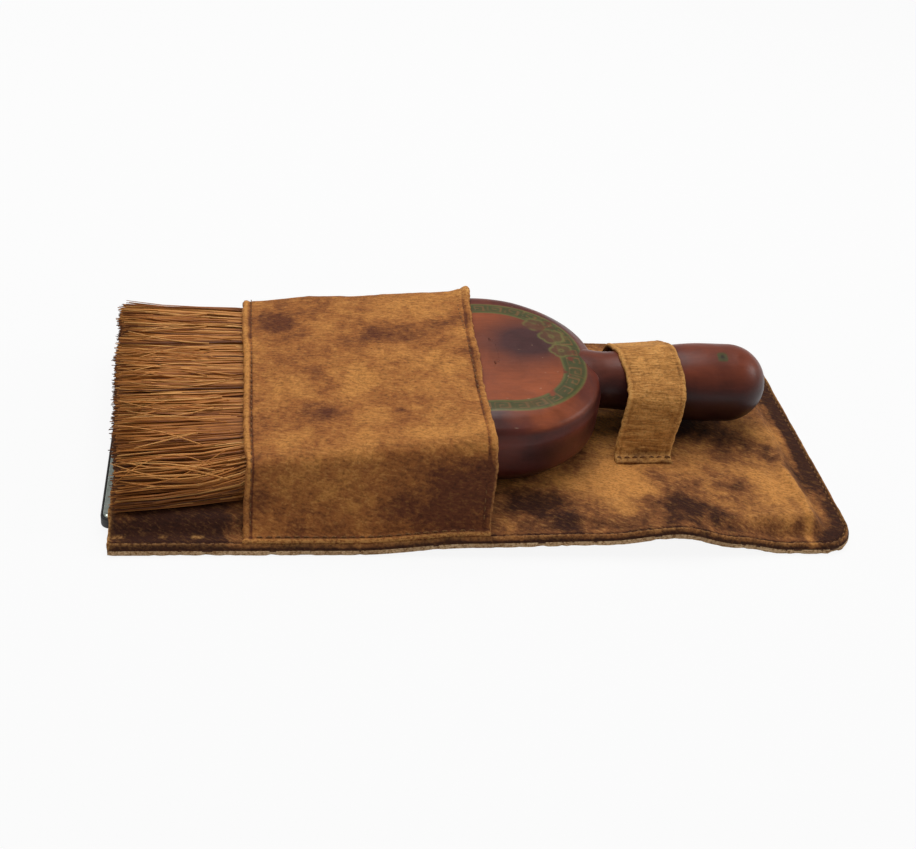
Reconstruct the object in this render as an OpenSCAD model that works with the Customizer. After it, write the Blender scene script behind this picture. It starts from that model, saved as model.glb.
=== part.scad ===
// Whisk brush in a leather travel case with a mirror in its pocket.
// Origin: centre of the whole footprint, on the surface it lies on. +X runs along the case
// towards the handle's bulb, +Y across it and +Z up. The brush and the mirror draw out to -X.

/* [Case] */
// Length of the leather case
case_l = 254; // [230:1:320]
// Width of the leather case
case_w = 127; // [122:1:160]
// Rounding of the two corners at the closed end
case_corner_r = 13; // [6:1:20]
// Thickness of the front and back plies
ply_t = 1.8; // [1.2:0.1:2.4]
// Flat margin of the front ply that is sewn down on the back ply
hem_w = 5; // [4.5:0.1:8]
// Sideways run of the slope from the margin up to the top of the pocket
slope_w = 4; // [2:0.5:6]

/* [Mirror] */
// How far the mirror stands out of the open end
mirror_proud = 3; // [1:0.5:8]
// Distance from the mirror's inner end to the closed end of the case
mirror_stop = 16.5; // [14:0.5:24]
// Thickness of the glass
glass_t = 2.6; // [2:0.1:4]
// Thickness of the backing board
board_t = 1.6; // [1:0.1:3]
// Width of the black edging strip
edging_w = 0.7; // [0.5:0.1:1.5]
// Rounding of the mirror's corners
mirror_corner_r = 3; // [2:0.5:10]

/* [Band and loop] */
// Thickness of the band and the loop strap
strap_t = 1.5; // [1:0.1:1.8]
// Distance from the open end of the case to the band
band_start = 42; // [30:1:50]
// Width of the band along the case
band_l = 81; // [60:1:100]
// Free space between the band and the near side of the head
band_slack = 7.5; // [5:0.5:9]
// Distance from the open end of the case to the loop
loop_start = 175; // [172:0.5:180]
// Width of the loop strap
loop_w = 21; // [14:1:26]
// Half of the distance between the loop's two legs at the case
loop_half = 23.5; // [21:0.5:28]
// Length of the loop's sewn foot on the case
foot_l = 4.5; // [3.5:0.5:6]

/* [Brush] */
// Sideways place of the brush on the case
brush_y = 3.5; // [0:0.5:4]
// Length of the wooden head
head_l = 74; // [60:1:90]
// Width of the wooden head
head_w = 89; // [70:1:92]
// Thickness of the wooden head
head_t = 29; // [24:1:36]
// Thickness of the head at its open end, where the bristles leave it
head_open_t = 24; // [20:0.5:28]
// Length over which the head thins towards its open end
head_thin_l = 36; // [25:1:44]
// Rounding of the head's long edges
head_edge_r = 10; // [6:0.5:12]
// Plan rounding of the head's corners at the handle
head_corner_r = 30; // [18:1:34]
// Distance from the open end of the case to the handle end of the head
head_end = 166; // [162:1:170]
// Diameter of the neck
neck_d = 21; // [17:0.5:24]
// Diameter of the bulb
bulb_d = 28.8; // [25:0.2:36]
// Length of the handle outside the head
handle_l = 67.8; // [60:0.2:76]
// Height of the handle's axis above the middle of the head
axis_rise = 2.5; // [0:0.5:3]
// Length of the bristles outside the head
bristle_l = 94.5; // [80:0.5:94.5]
// Length over which the bristles spread out from the head
spread_l = 44; // [30:1:50]
// How much wider than the head the bristles are where they have spread
spread_more = 7; // [0:0.5:9]
// How much wider than the head the bristles are at their tips
tip_more = 16; // [4:0.5:18]
// Thickness of the bristles at their tips
tip_t = 16; // [10:0.5:18]

/* [Brush inside] */
// Thickness of the wood around the bristle socket
socket_wall = 5.5; // [4:0.5:8]
// Depth of the bristle socket
socket_depth = 40; // [30:1:46]
// Length of the tenon that holds the handle in the head
tenon_l = 22; // [15:1:24]
// Length of the set pitch that holds the bristle roots
pitch_l = 7; // [4:0.5:10]
// Diameter of the brads through the head's side walls
brad_d = 1.6; // [1.2:0.1:2.4]
// Length of the brads
brad_l = 15; // [12:1:20]

/* [Thread] */
// Distance between two stitches
stitch_pitch = 3; // [2.5:0.1:4]
// Length of a stitch on the leather
stitch_l = 2.2; // [1.5:0.1:2.4]
// Thickness of the thread
thread_d = 0.6; // [0.4:0.1:0.8]
// Distance from a leather edge to its line of stitches
stitch_in = 2.8; // [2.5:0.1:3.2]
// Thickness of the twine around the bristles
twine_d = 1; // [0.8:0.1:1.2]

/* [Hidden] */

$fn = 64;
eps = 0.01;
arc_steps = 6;          // chords in a rounded corner
hull_fn = 32;           // facets of the rounds inside a hull
run_gap = 0.3;          // clearance between parts that slide past each other
fit_gap = 0.05;         // radial clearance of a glued or laid-in piece
mirror_gap = 0.2;       // clearance above and below the mirror
mirror_side_gap = 0.7;  // clearance on each side of the mirror
mirror_end_gap = 4;     // free depth of the pocket behind the mirror
pocket_side = 1.5;      // flat top of the pocket outside the mirror's edge
slit_gap = 0.15;        // clearance on each side of the strap in its slit
leg_stop = 0.4;         // leather left under the leg of a stitch
row_end = 1;            // plain leather left at the end of a row of stitches

// Places along the case
x_left = -(case_l + mirror_proud) / 2;
case_x0 = x_left + mirror_proud;
case_x1 = case_x0 + case_l;
band_x0 = case_x0 + band_start;
band_x1 = band_x0 + band_l;
loop_x0 = case_x0 + loop_start;
head_x1 = case_x0 + head_end;
head_x0 = head_x1 - head_l;
mirror_x1 = case_x1 - mirror_stop;

// Heights
mirror_z0 = ply_t + mirror_gap;
mirror_z1 = mirror_z0 + board_t + glass_t;
pocket_z1 = mirror_z1 + mirror_gap;
panel_z1 = pocket_z1 + ply_t;
hem_z1 = 2 * ply_t;
brush_z0 = panel_z1 + run_gap;
head_z1 = brush_z0 + head_t;
head_mid_z = brush_z0 + head_t / 2;
bulb_r = bulb_d / 2;
neck_r = neck_d / 2;
axis_z = max(head_mid_z + axis_rise, brush_z0 + bulb_r);

// Widths
hem_y = case_w / 2 - hem_w;             // foot of the slope, outside
plateau_y = hem_y - slope_w;            // top edge of the slope, outside
mirror_w = 2 * (plateau_y - pocket_side);
pocket_y = mirror_w / 2 + mirror_side_gap;  // inside wall of the pocket at its top
stitch_y = case_w / 2 - stitch_in;

// Band: centre line of its leather in the YZ plane
shoulder_r = head_edge_r + run_gap + strap_t / 2;
band_near_r = 8;
band_crown_r = bulb_r + run_gap + strap_t / 2;
foot_z = hem_z1 + strap_t / 2;
foot_edge = 1;                          // leather of the hem left showing outside the band
band_top_z = head_z1 + run_gap + strap_t / 2;
band_near_y = brush_y - head_w / 2 - band_slack;
band_foot_y = hem_y + strap_t / 2;
edge_y = brush_y + head_w / 2 - head_edge_r;    // centre of the head's rounded far edge
edge_z = head_z1 - head_edge_r;
band_lean = atan2(edge_z - foot_z, edge_y - band_foot_y)
    - asin(shoulder_r / norm([edge_y - band_foot_y, edge_z - foot_z]));
band_far_y = band_foot_y + (band_top_z - foot_z) / tan(band_lean);
band_crown_z = max(band_top_z, axis_z + band_crown_r) + 0.2;
band_line = rounded([
    [-case_w / 2 + foot_edge, foot_z], [-band_foot_y, foot_z], [band_near_y, band_top_z],
    [brush_y, band_crown_z], [band_far_y, band_top_z], [band_foot_y, foot_z],
    [case_w / 2 - foot_edge, foot_z]
], [0, 2, band_near_r, band_crown_r, shoulder_r, 2, 0]);

// Loop: centre line of its strap in the YZ plane
loop_arch_r = bulb_r + run_gap + strap_t / 2;
loop_foot_z = panel_z1 + strap_t / 2;
loop_tuck_z = pocket_z1 + 0.1;          // lower end of the strap in its slit
slit_w = strap_t + 2 * slit_gap;
loop_near_y = brush_y - loop_half;
loop_far_y = brush_y + loop_half;
loop_line = concat(
    rounded([[loop_near_y - foot_l, loop_tuck_z], [loop_near_y - foot_l, loop_foot_z],
        [loop_near_y, loop_foot_z], [brush_y - loop_arch_r, axis_z]], [0, 0.9, 2.5, 0]),
    [for (k = [1 : 11]) [brush_y - loop_arch_r * cos(15 * k), axis_z + loop_arch_r * sin(15 * k)]],
    rounded([[brush_y + loop_arch_r, axis_z], [loop_far_y, loop_foot_z],
        [loop_far_y + foot_l, loop_foot_z], [loop_far_y + foot_l, loop_tuck_z]], [0, 2.5, 0.9, 0])
);

// Bristles
tuft_count = 16;
tuft_gap = 0.25;
socket_w = head_w - 2 * socket_wall;
socket_t = head_open_t - 2 * socket_wall;
socket_z0 = brush_z0 + socket_wall;
socket_mid_z = socket_z0 + socket_t / 2;
socket_x1 = head_x0 + socket_depth;
root_x = socket_x1 - pitch_l;
root_w = socket_w - 2 * (twine_d + run_gap);
root_t = socket_t - 2 * (twine_d + run_gap);
root_z0 = socket_mid_z - root_t / 2;
spread_w = head_w + spread_more;
tip_w = head_w + tip_more;
spread_x = head_x0 - spread_l;
tip_x = head_x0 - bristle_l;
spread_shift = -2.2;                    // sideways place of the spread bristles from the brush
tip_shift = -4.5;                       // and of their tips
binding_w = 6;                          // width of the twine binding along the brush
binding_back = 3;                       // bare bristle between the pitch and the binding
skirt_at = [12, 20];                    // rows of skirt twine, from the head's open end
skirt_w = 2;
brad_x = head_x0 + socket_depth / 2;
brad_sink = 0.3;                        // depth of a brad's end below the head's side

leather = "peru";
leather_dark = "saddlebrown";
thread_tan = "burlywood";
lacquer = "brown";
fibre = "goldenrod";

function unit(v) = v / norm(v);

// Arc that rounds the corner b between a and c to radius r
function corner(a, b, c, r) =
    let (
        u = unit(a - b), v = unit(c - b), half = acos(u * v) / 2,
        m = b + unit(u + v) * r / sin(half),
        p = b + u * r / tan(half) - m, q = b + v * r / tan(half) - m,
        a0 = atan2(p.y, p.x), d = atan2(q.y, q.x) - a0,
        turn = d > 180 ? d - 360 : d < -180 ? d + 360 : d
    )
    [for (k = [0 : arc_steps]) m + r * [cos(a0 + turn * k / arc_steps), sin(a0 + turn * k / arc_steps)]];

// Path through pts with corner i rounded to radius r[i]
function rounded(pts, r) = [
    for (i = [0 : len(pts) - 1])
        each (r[i] == 0 ? [pts[i]] : corner(pts[i - 1], pts[i], pts[i + 1], r[i]))
];

function normal(p, i) =
    let (d = unit(p[min(i + 1, len(p) - 1)] - p[max(i - 1, 0)])) [-d.y, d.x];

// Outline of a strip of thickness t along the path p
function strip(p, t) = concat(
    [for (i = [0 : len(p) - 1]) p[i] + normal(p, i) * t / 2],
    [for (i = [len(p) - 1 : -1 : 0]) p[i] - normal(p, i) * t / 2]
);

// Distance along the path p to its point i
function run_to(p, i) = i == 0 ? 0 : run_to(p, i - 1) + norm(p[i] - p[i - 1]);

// Place and direction at distance s along the path p, as [y, z, angle]
function along(p, s, i = 0) =
    let (step = norm(p[i + 1] - p[i]), d = unit(p[i + 1] - p[i]))
    s <= step || i == len(p) - 2
        ? concat(p[i] + d * s, [atan2(d.y, d.x)])
        : along(p, s - step, i + 1);

// Puts an outline drawn in the YZ plane at x0 and gives it the length l along X
module across(x0, l) {
    translate([x0, 0, 0]) rotate([90, 0, 90]) linear_extrude(l) children();
}

module plate(x0, x1, w, z0, z1, r0, r1) {
    translate([0, 0, z0]) linear_extrude(z1 - z0) polygon(concat(
        rounded([[x1, 0], [x1, w / 2], [x0, w / 2], [x0, 0]], [0, r1, r0, 0]),
        rounded([[x0, 0], [x0, -w / 2], [x1, -w / 2], [x1, 0]], [0, r0, r1, 0])
    ));
}

// One stitch along X: the thread on the leather and its leg down through depth of leather
module stitch(depth) {
    translate([-stitch_l / 2, -thread_d / 2, 0]) cube([stitch_l, thread_d, thread_d]);
    translate([-thread_d / 2, -thread_d / 2, -depth]) cube([thread_d, thread_d, depth + eps]);
}

// Row of stitches along X from x0 to x1, at y and on leather whose top is at z
module stitch_row(x0, x1, y, z, depth) {
    count = floor((x1 - x0) / stitch_pitch);
    start = (x0 + x1 - count * stitch_pitch) / 2;
    for (i = [0 : count - 1]) translate([start + (i + 0.5) * stitch_pitch, y, z]) stitch(depth);
}

// Outside of the raised pocket, or its inside when it is drawn in by the leather's thickness
module pocket_form(x0, x1, y_top, y_foot, z_foot, z_top) {
    run = y_foot - y_top;
    hull() {
        translate([x0, -y_foot, z_foot]) cube([x1 - x0, 2 * y_foot, eps]);
        translate([x0, -y_top, z_top - eps]) cube([x1 - run - x0, 2 * y_top, eps]);
    }
}

module loop_slits() {
    for (y = [loop_near_y - foot_l, loop_far_y + foot_l])
        translate([loop_x0 - fit_gap, y - slit_w / 2, pocket_z1 - 1])
            cube([loop_w + 2 * fit_gap, slit_w, ply_t + 2]);
}

module back_panel() {
    color(leather_dark) plate(case_x0, case_x1, case_w, 0, ply_t, 1, case_corner_r);
}

module front_panel() {
    color(leather) difference() {
        union() {
            plate(case_x0, case_x1, case_w, ply_t, hem_z1, 1, case_corner_r);
            pocket_form(case_x0, case_x1 - hem_w, plateau_y, hem_y, hem_z1 - eps, panel_z1);
        }
        pocket_form(case_x0 - 1, mirror_x1 + mirror_end_gap, pocket_y, pocket_y + 2,
            ply_t - eps, pocket_z1);
        loop_slits();
    }
}

module edge_thread() {
    depth = hem_z1 - leg_stop;
    r = case_corner_r - stitch_in;
    bend = case_corner_r * 90 * PI / 180;
    turns = floor(bend * r / case_corner_r / stitch_pitch);
    color(thread_tan) {
        for (side = [-1, 1]) {
            stitch_row(case_x0 + row_end, band_x0 - row_end, side * stitch_y, hem_z1, depth);
            stitch_row(band_x1 + row_end, case_x1 - case_corner_r, side * stitch_y, hem_z1, depth);
            for (k = [0 : turns - 1])
                let (a = 90 * (k + 0.5) / turns)
                    translate([
                        case_x1 - case_corner_r + r * cos(a),
                        side * (case_w / 2 - case_corner_r + r * sin(a)), hem_z1
                    ]) rotate(side * (a + 90)) stitch(depth);
        }
        translate([case_x1 - stitch_in, 0, 0]) rotate(90)
            stitch_row(-case_w / 2 + case_corner_r, case_w / 2 - case_corner_r, 0, hem_z1, depth);
    }
}

module brush_band() {
    color(leather) across(band_x0, band_l) polygon(strip(band_line, strap_t));
}

// Stitches up over the band and down again, at x, clear of its two feet
module hem_stitches(x) {
    length = run_to(band_line, len(band_line) - 1);
    first = hem_w + row_end + 0.5;      // past the foot and its seam
    count = floor((length - 2 * first) / stitch_pitch);
    for (i = [0 : count - 1])
        let (at = along(band_line, first + (i + 0.5) * stitch_pitch))
            translate([x, at[0], at[1]]) rotate([at[2], 0, 0]) rotate(90)
                translate([0, 0, strap_t / 2]) stitch(strap_t - leg_stop);
}

module band_hem_thread_left() {
    color(thread_tan) hem_stitches(band_x0 + stitch_in);
}

module band_hem_thread_right() {
    color(thread_tan) hem_stitches(band_x1 - stitch_in);
}

module band_seam(side) {
    clear = stitch_in + row_end + thread_d;     // keeps the seam off the hem's stitches
    color(thread_tan) stitch_row(band_x0 + clear, band_x1 - clear, side * stitch_y,
        hem_z1 + strap_t, hem_z1 + strap_t - leg_stop);
}

module band_seam_thread_near() {
    band_seam(-1);
}

module band_seam_thread_far() {
    band_seam(1);
}

module handle_loop() {
    color(leather) across(loop_x0, loop_w) polygon(strip(loop_line, strap_t));
}

module foot_stitches(y) {
    color(thread_tan) stitch_row(loop_x0 + row_end, loop_x0 + loop_w - row_end, y,
        panel_z1 + strap_t, strap_t + ply_t - leg_stop);
}

module loop_thread_near() {
    foot_stitches(loop_near_y - foot_l / 2);
}

module loop_thread_far() {
    foot_stitches(loop_far_y + foot_l / 2);
}

module mirror_glass() {
    inset = edging_w + fit_gap;
    color("lightslategray") plate(x_left + inset, mirror_x1 - inset, mirror_w - 2 * inset,
        mirror_z0 + board_t, mirror_z1, mirror_corner_r - edging_w, mirror_corner_r - edging_w);
}

module mirror_board() {
    inset = edging_w + fit_gap;
    color("dimgray") plate(x_left + inset, mirror_x1 - inset, mirror_w - 2 * inset,
        mirror_z0, mirror_z0 + board_t, mirror_corner_r - edging_w, mirror_corner_r - edging_w);
}

module mirror_edging() {
    color("black") difference() {
        plate(x_left, mirror_x1, mirror_w, mirror_z0, mirror_z1 - 0.3, mirror_corner_r, mirror_corner_r);
        plate(x_left + edging_w, mirror_x1 - edging_w, mirror_w - 2 * edging_w,
            mirror_z0 - 1, mirror_z1, mirror_corner_r - edging_w, mirror_corner_r - edging_w);
    }
}

// Disc of plan radius r and thickness t with its rims rounded to head_edge_r
module head_disc(r, t) {
    e = head_edge_r;
    rotate_extrude($fn = hull_fn) {
        square([r - e, t]);
        translate([0, e]) square([r, t - 2 * e]);
        for (z = [e, t - e]) translate([r - e, z]) intersection() {
            circle(e, $fn = hull_fn);
            translate([-min(r - e, e), -e]) square([2 * e, 2 * e]);
        }
    }
}

module head_form() {
    open_r = head_edge_r + 2;           // plan rounding of the corners at the open end
    hull() for (side = [-1, 1]) {
        translate([head_x1 - head_corner_r, side * (head_w / 2 - head_corner_r), 0])
            head_disc(head_corner_r, head_t);
        translate([head_x0 + head_thin_l, side * (head_w / 2 - open_r), 0]) head_disc(open_r, head_t);
        translate([head_x0 + open_r, side * (head_w / 2 - open_r), 0]) head_disc(open_r, head_open_t);
    }
}

module brush_head() {
    color(lacquer) difference() {
        translate([0, brush_y, brush_z0]) head_form();
        translate([head_x0 - 1, brush_y - socket_w / 2, socket_z0])
            cube([socket_depth + 1, socket_w, socket_t]);
        translate([head_x1 - tenon_l - fit_gap, brush_y, axis_z]) rotate([0, 90, 0])
            cylinder(h = tenon_l + head_edge_r, r = neck_r + fit_gap);
        for (side = [-1, 1]) translate([brad_x, brush_y + side * (head_w / 2 + 1), socket_mid_z])
            rotate([side * 90, 0, 0]) cylinder(h = socket_wall + 2, r = brad_d / 2);
    }
}

// Radius of the handle at distance t, from 0 at the neck to 1 at the bulb
function swell(t) = neck_r + (bulb_r - neck_r) * (1 - cos(180 * t)) / 2;

module handle() {
    neck_end = 5.5;                     // straight part of the neck outside the head
    swell_end = 43.5;                   // where the bulb reaches its full diameter
    round_at = handle_l - bulb_r;       // centre of the round end
    tenon_bevel = 1;
    swell_steps = 10;
    round_steps = 12;
    color(lacquer) translate([head_x1, brush_y, axis_z]) rotate([0, 90, 0]) rotate_extrude()
        polygon(concat(
            [[0, -tenon_l], [neck_r - tenon_bevel, -tenon_l], [neck_r, tenon_bevel - tenon_l],
                [neck_r, neck_end]],
            [for (k = [1 : swell_steps])
                [swell(k / swell_steps), neck_end + (swell_end - neck_end) * k / swell_steps]],
            [for (k = [0 : round_steps])
                [bulb_r * cos(90 * k / round_steps), round_at + bulb_r * sin(90 * k / round_steps)]]
        ));
}

// Cross section, at x, of tuft i in a row that lies between the fractions f0 and f1 of the
// bristles' thickness, where all the bristles take w by t from y and z up
module tuft_slice(x, i, f0, f1, w, t, y, z) {
    step = w / tuft_count;
    translate([x, y - w / 2 + i * step + tuft_gap / 2, z + f0 * t + tuft_gap / 2])
        cube([eps, step - tuft_gap, (f1 - f0) * t - tuft_gap]);
}

module tuft(i, f0, f1) {
    hull() for (x = [root_x - eps, head_x0])
        tuft_slice(x, i, f0, f1, root_w, root_t, brush_y, root_z0);
    hull() {
        tuft_slice(head_x0, i, f0, f1, root_w, root_t, brush_y, root_z0);
        tuft_slice(spread_x, i, f0, f1, spread_w, tip_t, brush_y + spread_shift, brush_z0);
    }
    hull() {
        tuft_slice(spread_x, i, f0, f1, spread_w, tip_t, brush_y + spread_shift, brush_z0);
        tuft_slice(tip_x, i, f0, f1, tip_w, tip_t, brush_y + tip_shift, brush_z0);
    }
}

module tuft_row(f0, f1) {
    color(fibre) for (i = [0 : tuft_count - 1]) tuft(i, f0, f1);
}

module bristles_lower() {
    tuft_row(0, 1 / 3);
}

module bristles_middle() {
    tuft_row(1 / 3, 2 / 3);
}

module bristles_upper() {
    tuft_row(2 / 3, 1);
}

// Flat ring of twine around the bristles, where their section is w by t and centred at y, z
module twine_ring(x0, l, y, z, w, t) {
    across(x0, l) translate([y, z]) difference() {
        square([w + 2 * twine_d, t + 2 * twine_d], center = true);
        square([w, t], center = true);
    }
}

module root_binding() {
    color(thread_tan) twine_ring(root_x - binding_back - binding_w, binding_w,
        brush_y, socket_mid_z, root_w, root_t);
}

module skirt_twine() {
    color(thread_tan) for (at = skirt_at)
        let (
            f = at / spread_l, g = (at + skirt_w) / spread_l,
            y_low = brush_y - root_w / 2 + (spread_shift + (root_w - spread_w) / 2) * g,
            y_high = brush_y + root_w / 2 + (spread_shift + (spread_w - root_w) / 2) * g,
            z_low = root_z0 + (brush_z0 - root_z0) * g,
            z_high = root_z0 + root_t + (brush_z0 + tip_t - root_z0 - root_t) * f
        )
        twine_ring(head_x0 - at - skirt_w, skirt_w, (y_low + y_high) / 2, (z_low + z_high) / 2,
            y_high - y_low, z_high - z_low);
}

module pitch_plug() {
    color("black") translate([root_x, brush_y - socket_w / 2, socket_z0])
        cube([pitch_l, socket_w, socket_t]);
}

module head_brads() {
    color("silver") for (side = [-1, 1])
        translate([brad_x, brush_y + side * (head_w / 2 - brad_sink), socket_mid_z])
            rotate([side * 90, 0, 0]) cylinder(h = brad_l, r = brad_d / 2);
}

back_panel();
front_panel();
edge_thread();
brush_band();
band_hem_thread_left();
band_hem_thread_right();
band_seam_thread_near();
band_seam_thread_far();
handle_loop();
loop_thread_near();
loop_thread_far();
mirror_glass();
mirror_board();
mirror_edging();
brush_head();
handle();
bristles_upper();
bristles_middle();
bristles_lower();
root_binding();
skirt_twine();
pitch_plug();
head_brads();
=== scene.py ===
import math

import bmesh
import bpy
import numpy as np
from mathutils import Matrix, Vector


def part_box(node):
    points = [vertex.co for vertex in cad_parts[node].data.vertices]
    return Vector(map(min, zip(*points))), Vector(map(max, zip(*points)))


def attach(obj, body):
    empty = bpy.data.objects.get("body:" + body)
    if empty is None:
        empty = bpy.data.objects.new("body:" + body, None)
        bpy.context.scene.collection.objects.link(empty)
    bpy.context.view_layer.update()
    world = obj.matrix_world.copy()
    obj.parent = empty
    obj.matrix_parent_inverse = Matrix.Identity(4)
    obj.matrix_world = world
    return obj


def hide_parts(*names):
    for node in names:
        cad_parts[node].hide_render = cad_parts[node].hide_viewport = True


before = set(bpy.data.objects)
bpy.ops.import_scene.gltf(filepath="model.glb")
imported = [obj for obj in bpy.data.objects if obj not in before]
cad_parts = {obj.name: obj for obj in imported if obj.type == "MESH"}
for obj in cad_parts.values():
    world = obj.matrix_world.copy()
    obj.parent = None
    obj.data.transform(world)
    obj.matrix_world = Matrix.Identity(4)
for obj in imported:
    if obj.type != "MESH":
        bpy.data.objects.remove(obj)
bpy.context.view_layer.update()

# The looks of a whisk brush in its leather travel case. Lengths are millimetres until a mesh
# is made. X runs along the case towards the bulb of the handle, Y across it and Z up.

MM = 0.001


def box(node):
    low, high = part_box(node)
    return np.array(low) / MM, np.array(high) / MM


# Sizes and places taken from the frame
case_low, case_high = box("front_panel")
band_low, band_high = box("brush_band")
loop_low, loop_high = box("handle_loop")
head_low, head_high = box("brush_head")
handle_low, handle_high = box("handle")
fibre_low, fibre_high = box("bristles_upper")
glass_low, glass_high = box("mirror_glass")
board_low, board_high = box("mirror_board")
edging_low, edging_high = box("mirror_edging")

PLY = case_low[2]                       # thickness of a leather ply
HALF_W = case_high[1]                   # half the width of the case
OPEN_X, END_X = case_low[0], case_high[0]
CORNER_R = 13.0
HEM_Z = 2 * PLY
TOP_Z = case_high[2]
EDGE_IN = 1.9                           # from the case's edge to its stitches
HEM_IN = 2.5                            # from the band's ends to their stitches
SEAM_IN = 2.8                           # from the band's feet to the case's edge
BRUSH_Y = (head_low[1] + head_high[1]) / 2
BASE_Z = head_low[2]
AXIS_Z = 25.5
NECK_R = 10.5
BULB_R = (handle_high[1] - handle_low[1]) / 2
STRAP = 1.5
FOOT_L = 4.5                            # sewn foot of the loop


# ---------------------------------------------------------------- numbers

def ramp(x, a, b):
    """Smooth step from 0 at a to 1 at b; b may be below a."""
    t = np.clip((np.asarray(x, float) - a) / (b - a), 0, 1)
    return t * t * (3 - 2 * t)


def hill(x, middle, width):
    return np.exp(-((np.asarray(x, float) - middle) / width) ** 2)


def hashed(i, j, k, seed):
    h = (i * 374761393 + j * 668265263 + k * 1440662683 + seed * 974634777) & 0xFFFFFFFF
    h = ((h ^ (h >> 13)) * 1274126177) & 0xFFFFFFFF
    return ((h ^ (h >> 16)) & 0xFFFF) / 32767.5 - 1


def noise(points, size, seed):
    """Smooth value noise from -1 to 1 with features of the given size."""
    q = np.asarray(points, float) / size
    cell = np.floor(q).astype(np.int64)
    f = q - cell
    f = f * f * (3 - 2 * f)
    total = 0
    for corner in range(8):
        step = np.array([corner & 1, corner >> 1 & 1, corner >> 2])
        weight = np.prod(np.where(step, f, 1 - f), axis=-1)
        c = cell + step
        total = total + weight * hashed(c[..., 0], c[..., 1], c[..., 2], seed)
    return total


def layers(points, size, seed, count=4):
    """Noise with finer and finer layers added."""
    return sum(noise(points, size / 2 ** n, seed + n) / 2 ** n for n in range(count))


def flat(x, y):
    """Points on the plane at x, y, for the noise."""
    x, y = np.broadcast_arrays(np.asarray(x, float), np.asarray(y, float))
    return np.stack([x, y, np.zeros_like(x)], -1)


def rounded_path(points, radii, count):
    """Polyline with its corners rounded to radii, as count points evenly spaced along it."""
    points = [np.array(p, float) for p in points]
    path = []
    for i, (b, r) in enumerate(zip(points, radii)):
        if r == 0:
            path.append(b)
            continue
        u, v = points[i - 1] - b, points[i + 1] - b
        u, v = u / np.linalg.norm(u), v / np.linalg.norm(v)
        half = math.acos(np.clip(u @ v, -1, 1)) / 2
        if half > math.pi / 2 - 0.01:
            path.append(b)
            continue
        middle = b + (u + v) / np.linalg.norm(u + v) * r / math.sin(half)
        first, last = b + u * r / math.tan(half) - middle, b + v * r / math.tan(half) - middle
        a0, a1 = math.atan2(first[1], first[0]), math.atan2(last[1], last[0])
        turn = (a1 - a0 + math.pi) % (2 * math.pi) - math.pi
        for k in range(9):
            a = a0 + turn * k / 8
            path.append(middle + r * np.array([math.cos(a), math.sin(a)]))
    path = np.array(path)
    run = np.concatenate([[0], np.cumsum(np.linalg.norm(np.diff(path, axis=0), axis=1))])
    at = np.linspace(0, run[-1], count)
    return np.stack([np.interp(at, run, path[:, c]) for c in (0, 1)], -1)


def normals_2d(path):
    d = np.gradient(path, axis=0)
    d /= np.linalg.norm(d, axis=1)[:, None]
    return np.stack([-d[:, 1], d[:, 0]], -1)


# ---------------------------------------------------------------- meshes

def grid_faces(rows, columns, wrap=False):
    """Quads of a grid of points; wrap closes it along its columns."""
    i = np.arange(rows - 1)[:, None]
    j = np.arange(columns if wrap else columns - 1)[None, :]
    k = (j + 1) % columns
    quads = [i * columns + j, i * columns + k, (i + 1) * columns + k, (i + 1) * columns + j]
    return np.stack([np.broadcast_to(q, (rows - 1, j.size)) for q in quads], -1).reshape(-1, 4)


def make_piece(name, points, faces, material, body, nodes, tags=None, merge=0):
    """A mesh piece from points in millimetres, a list of face arrays and point attributes."""
    points = np.asarray(points, float).reshape(-1, 3)
    mesh = bpy.data.meshes.new(name)
    mesh.vertices.add(len(points))
    mesh.vertices.foreach_set("co", (points * MM).astype(np.float32).ravel())
    sizes = np.concatenate([np.full(len(f), f.shape[1]) for f in faces])
    corners = np.concatenate([f.ravel() for f in faces])
    mesh.loops.add(len(corners))
    mesh.loops.foreach_set("vertex_index", corners.astype(np.int32))
    mesh.polygons.add(len(sizes))
    starts = np.concatenate([[0], np.cumsum(sizes)[:-1]])
    mesh.polygons.foreach_set("loop_start", starts.astype(np.int32))
    mesh.update(calc_edges=True)
    for tag, values in (tags or {}).items():
        values = np.asarray(values, np.float32)
        if values.ndim == 2:
            layer = mesh.attributes.new(tag, "FLOAT_COLOR", "POINT")
            values = np.concatenate([values, np.ones((len(values), 1), np.float32)], 1)
            layer.data.foreach_set("color", values.ravel())
        else:
            layer = mesh.attributes.new(tag, "FLOAT", "POINT")
            layer.data.foreach_set("value", values.ravel())
    bm = bmesh.new()
    bm.from_mesh(mesh)
    if merge:
        bmesh.ops.remove_doubles(bm, verts=bm.verts, dist=merge * MM)
    bmesh.ops.recalc_face_normals(bm, faces=bm.faces)
    bm.to_mesh(mesh)
    bm.free()
    mesh.polygons.foreach_set("use_smooth", [True] * len(mesh.polygons))
    piece = bpy.data.objects.new(name, mesh)
    bpy.context.scene.collection.objects.link(piece)
    mesh.materials.append(material)
    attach(piece, body)
    if nodes:
        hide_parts(*nodes)
    return piece


def sheet_solid(outer, inner):
    """Points and faces of a closed sheet between two grids of the same shape."""
    rows, columns = outer.shape[:2]
    n = rows * columns
    top = grid_faces(rows, columns)
    rim = np.concatenate([
        np.arange(columns), np.arange(1, rows) * columns + columns - 1,
        (rows - 1) * columns + np.arange(columns - 2, -1, -1), np.arange(rows - 2, 0, -1) * columns,
    ])
    after = np.roll(rim, -1)
    sides = np.stack([rim, rim + n, after + n, after], -1)
    points = np.concatenate([outer.reshape(-1, 3), inner.reshape(-1, 3)])
    return points, [np.concatenate([top, top[:, ::-1] + n, sides])]


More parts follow.
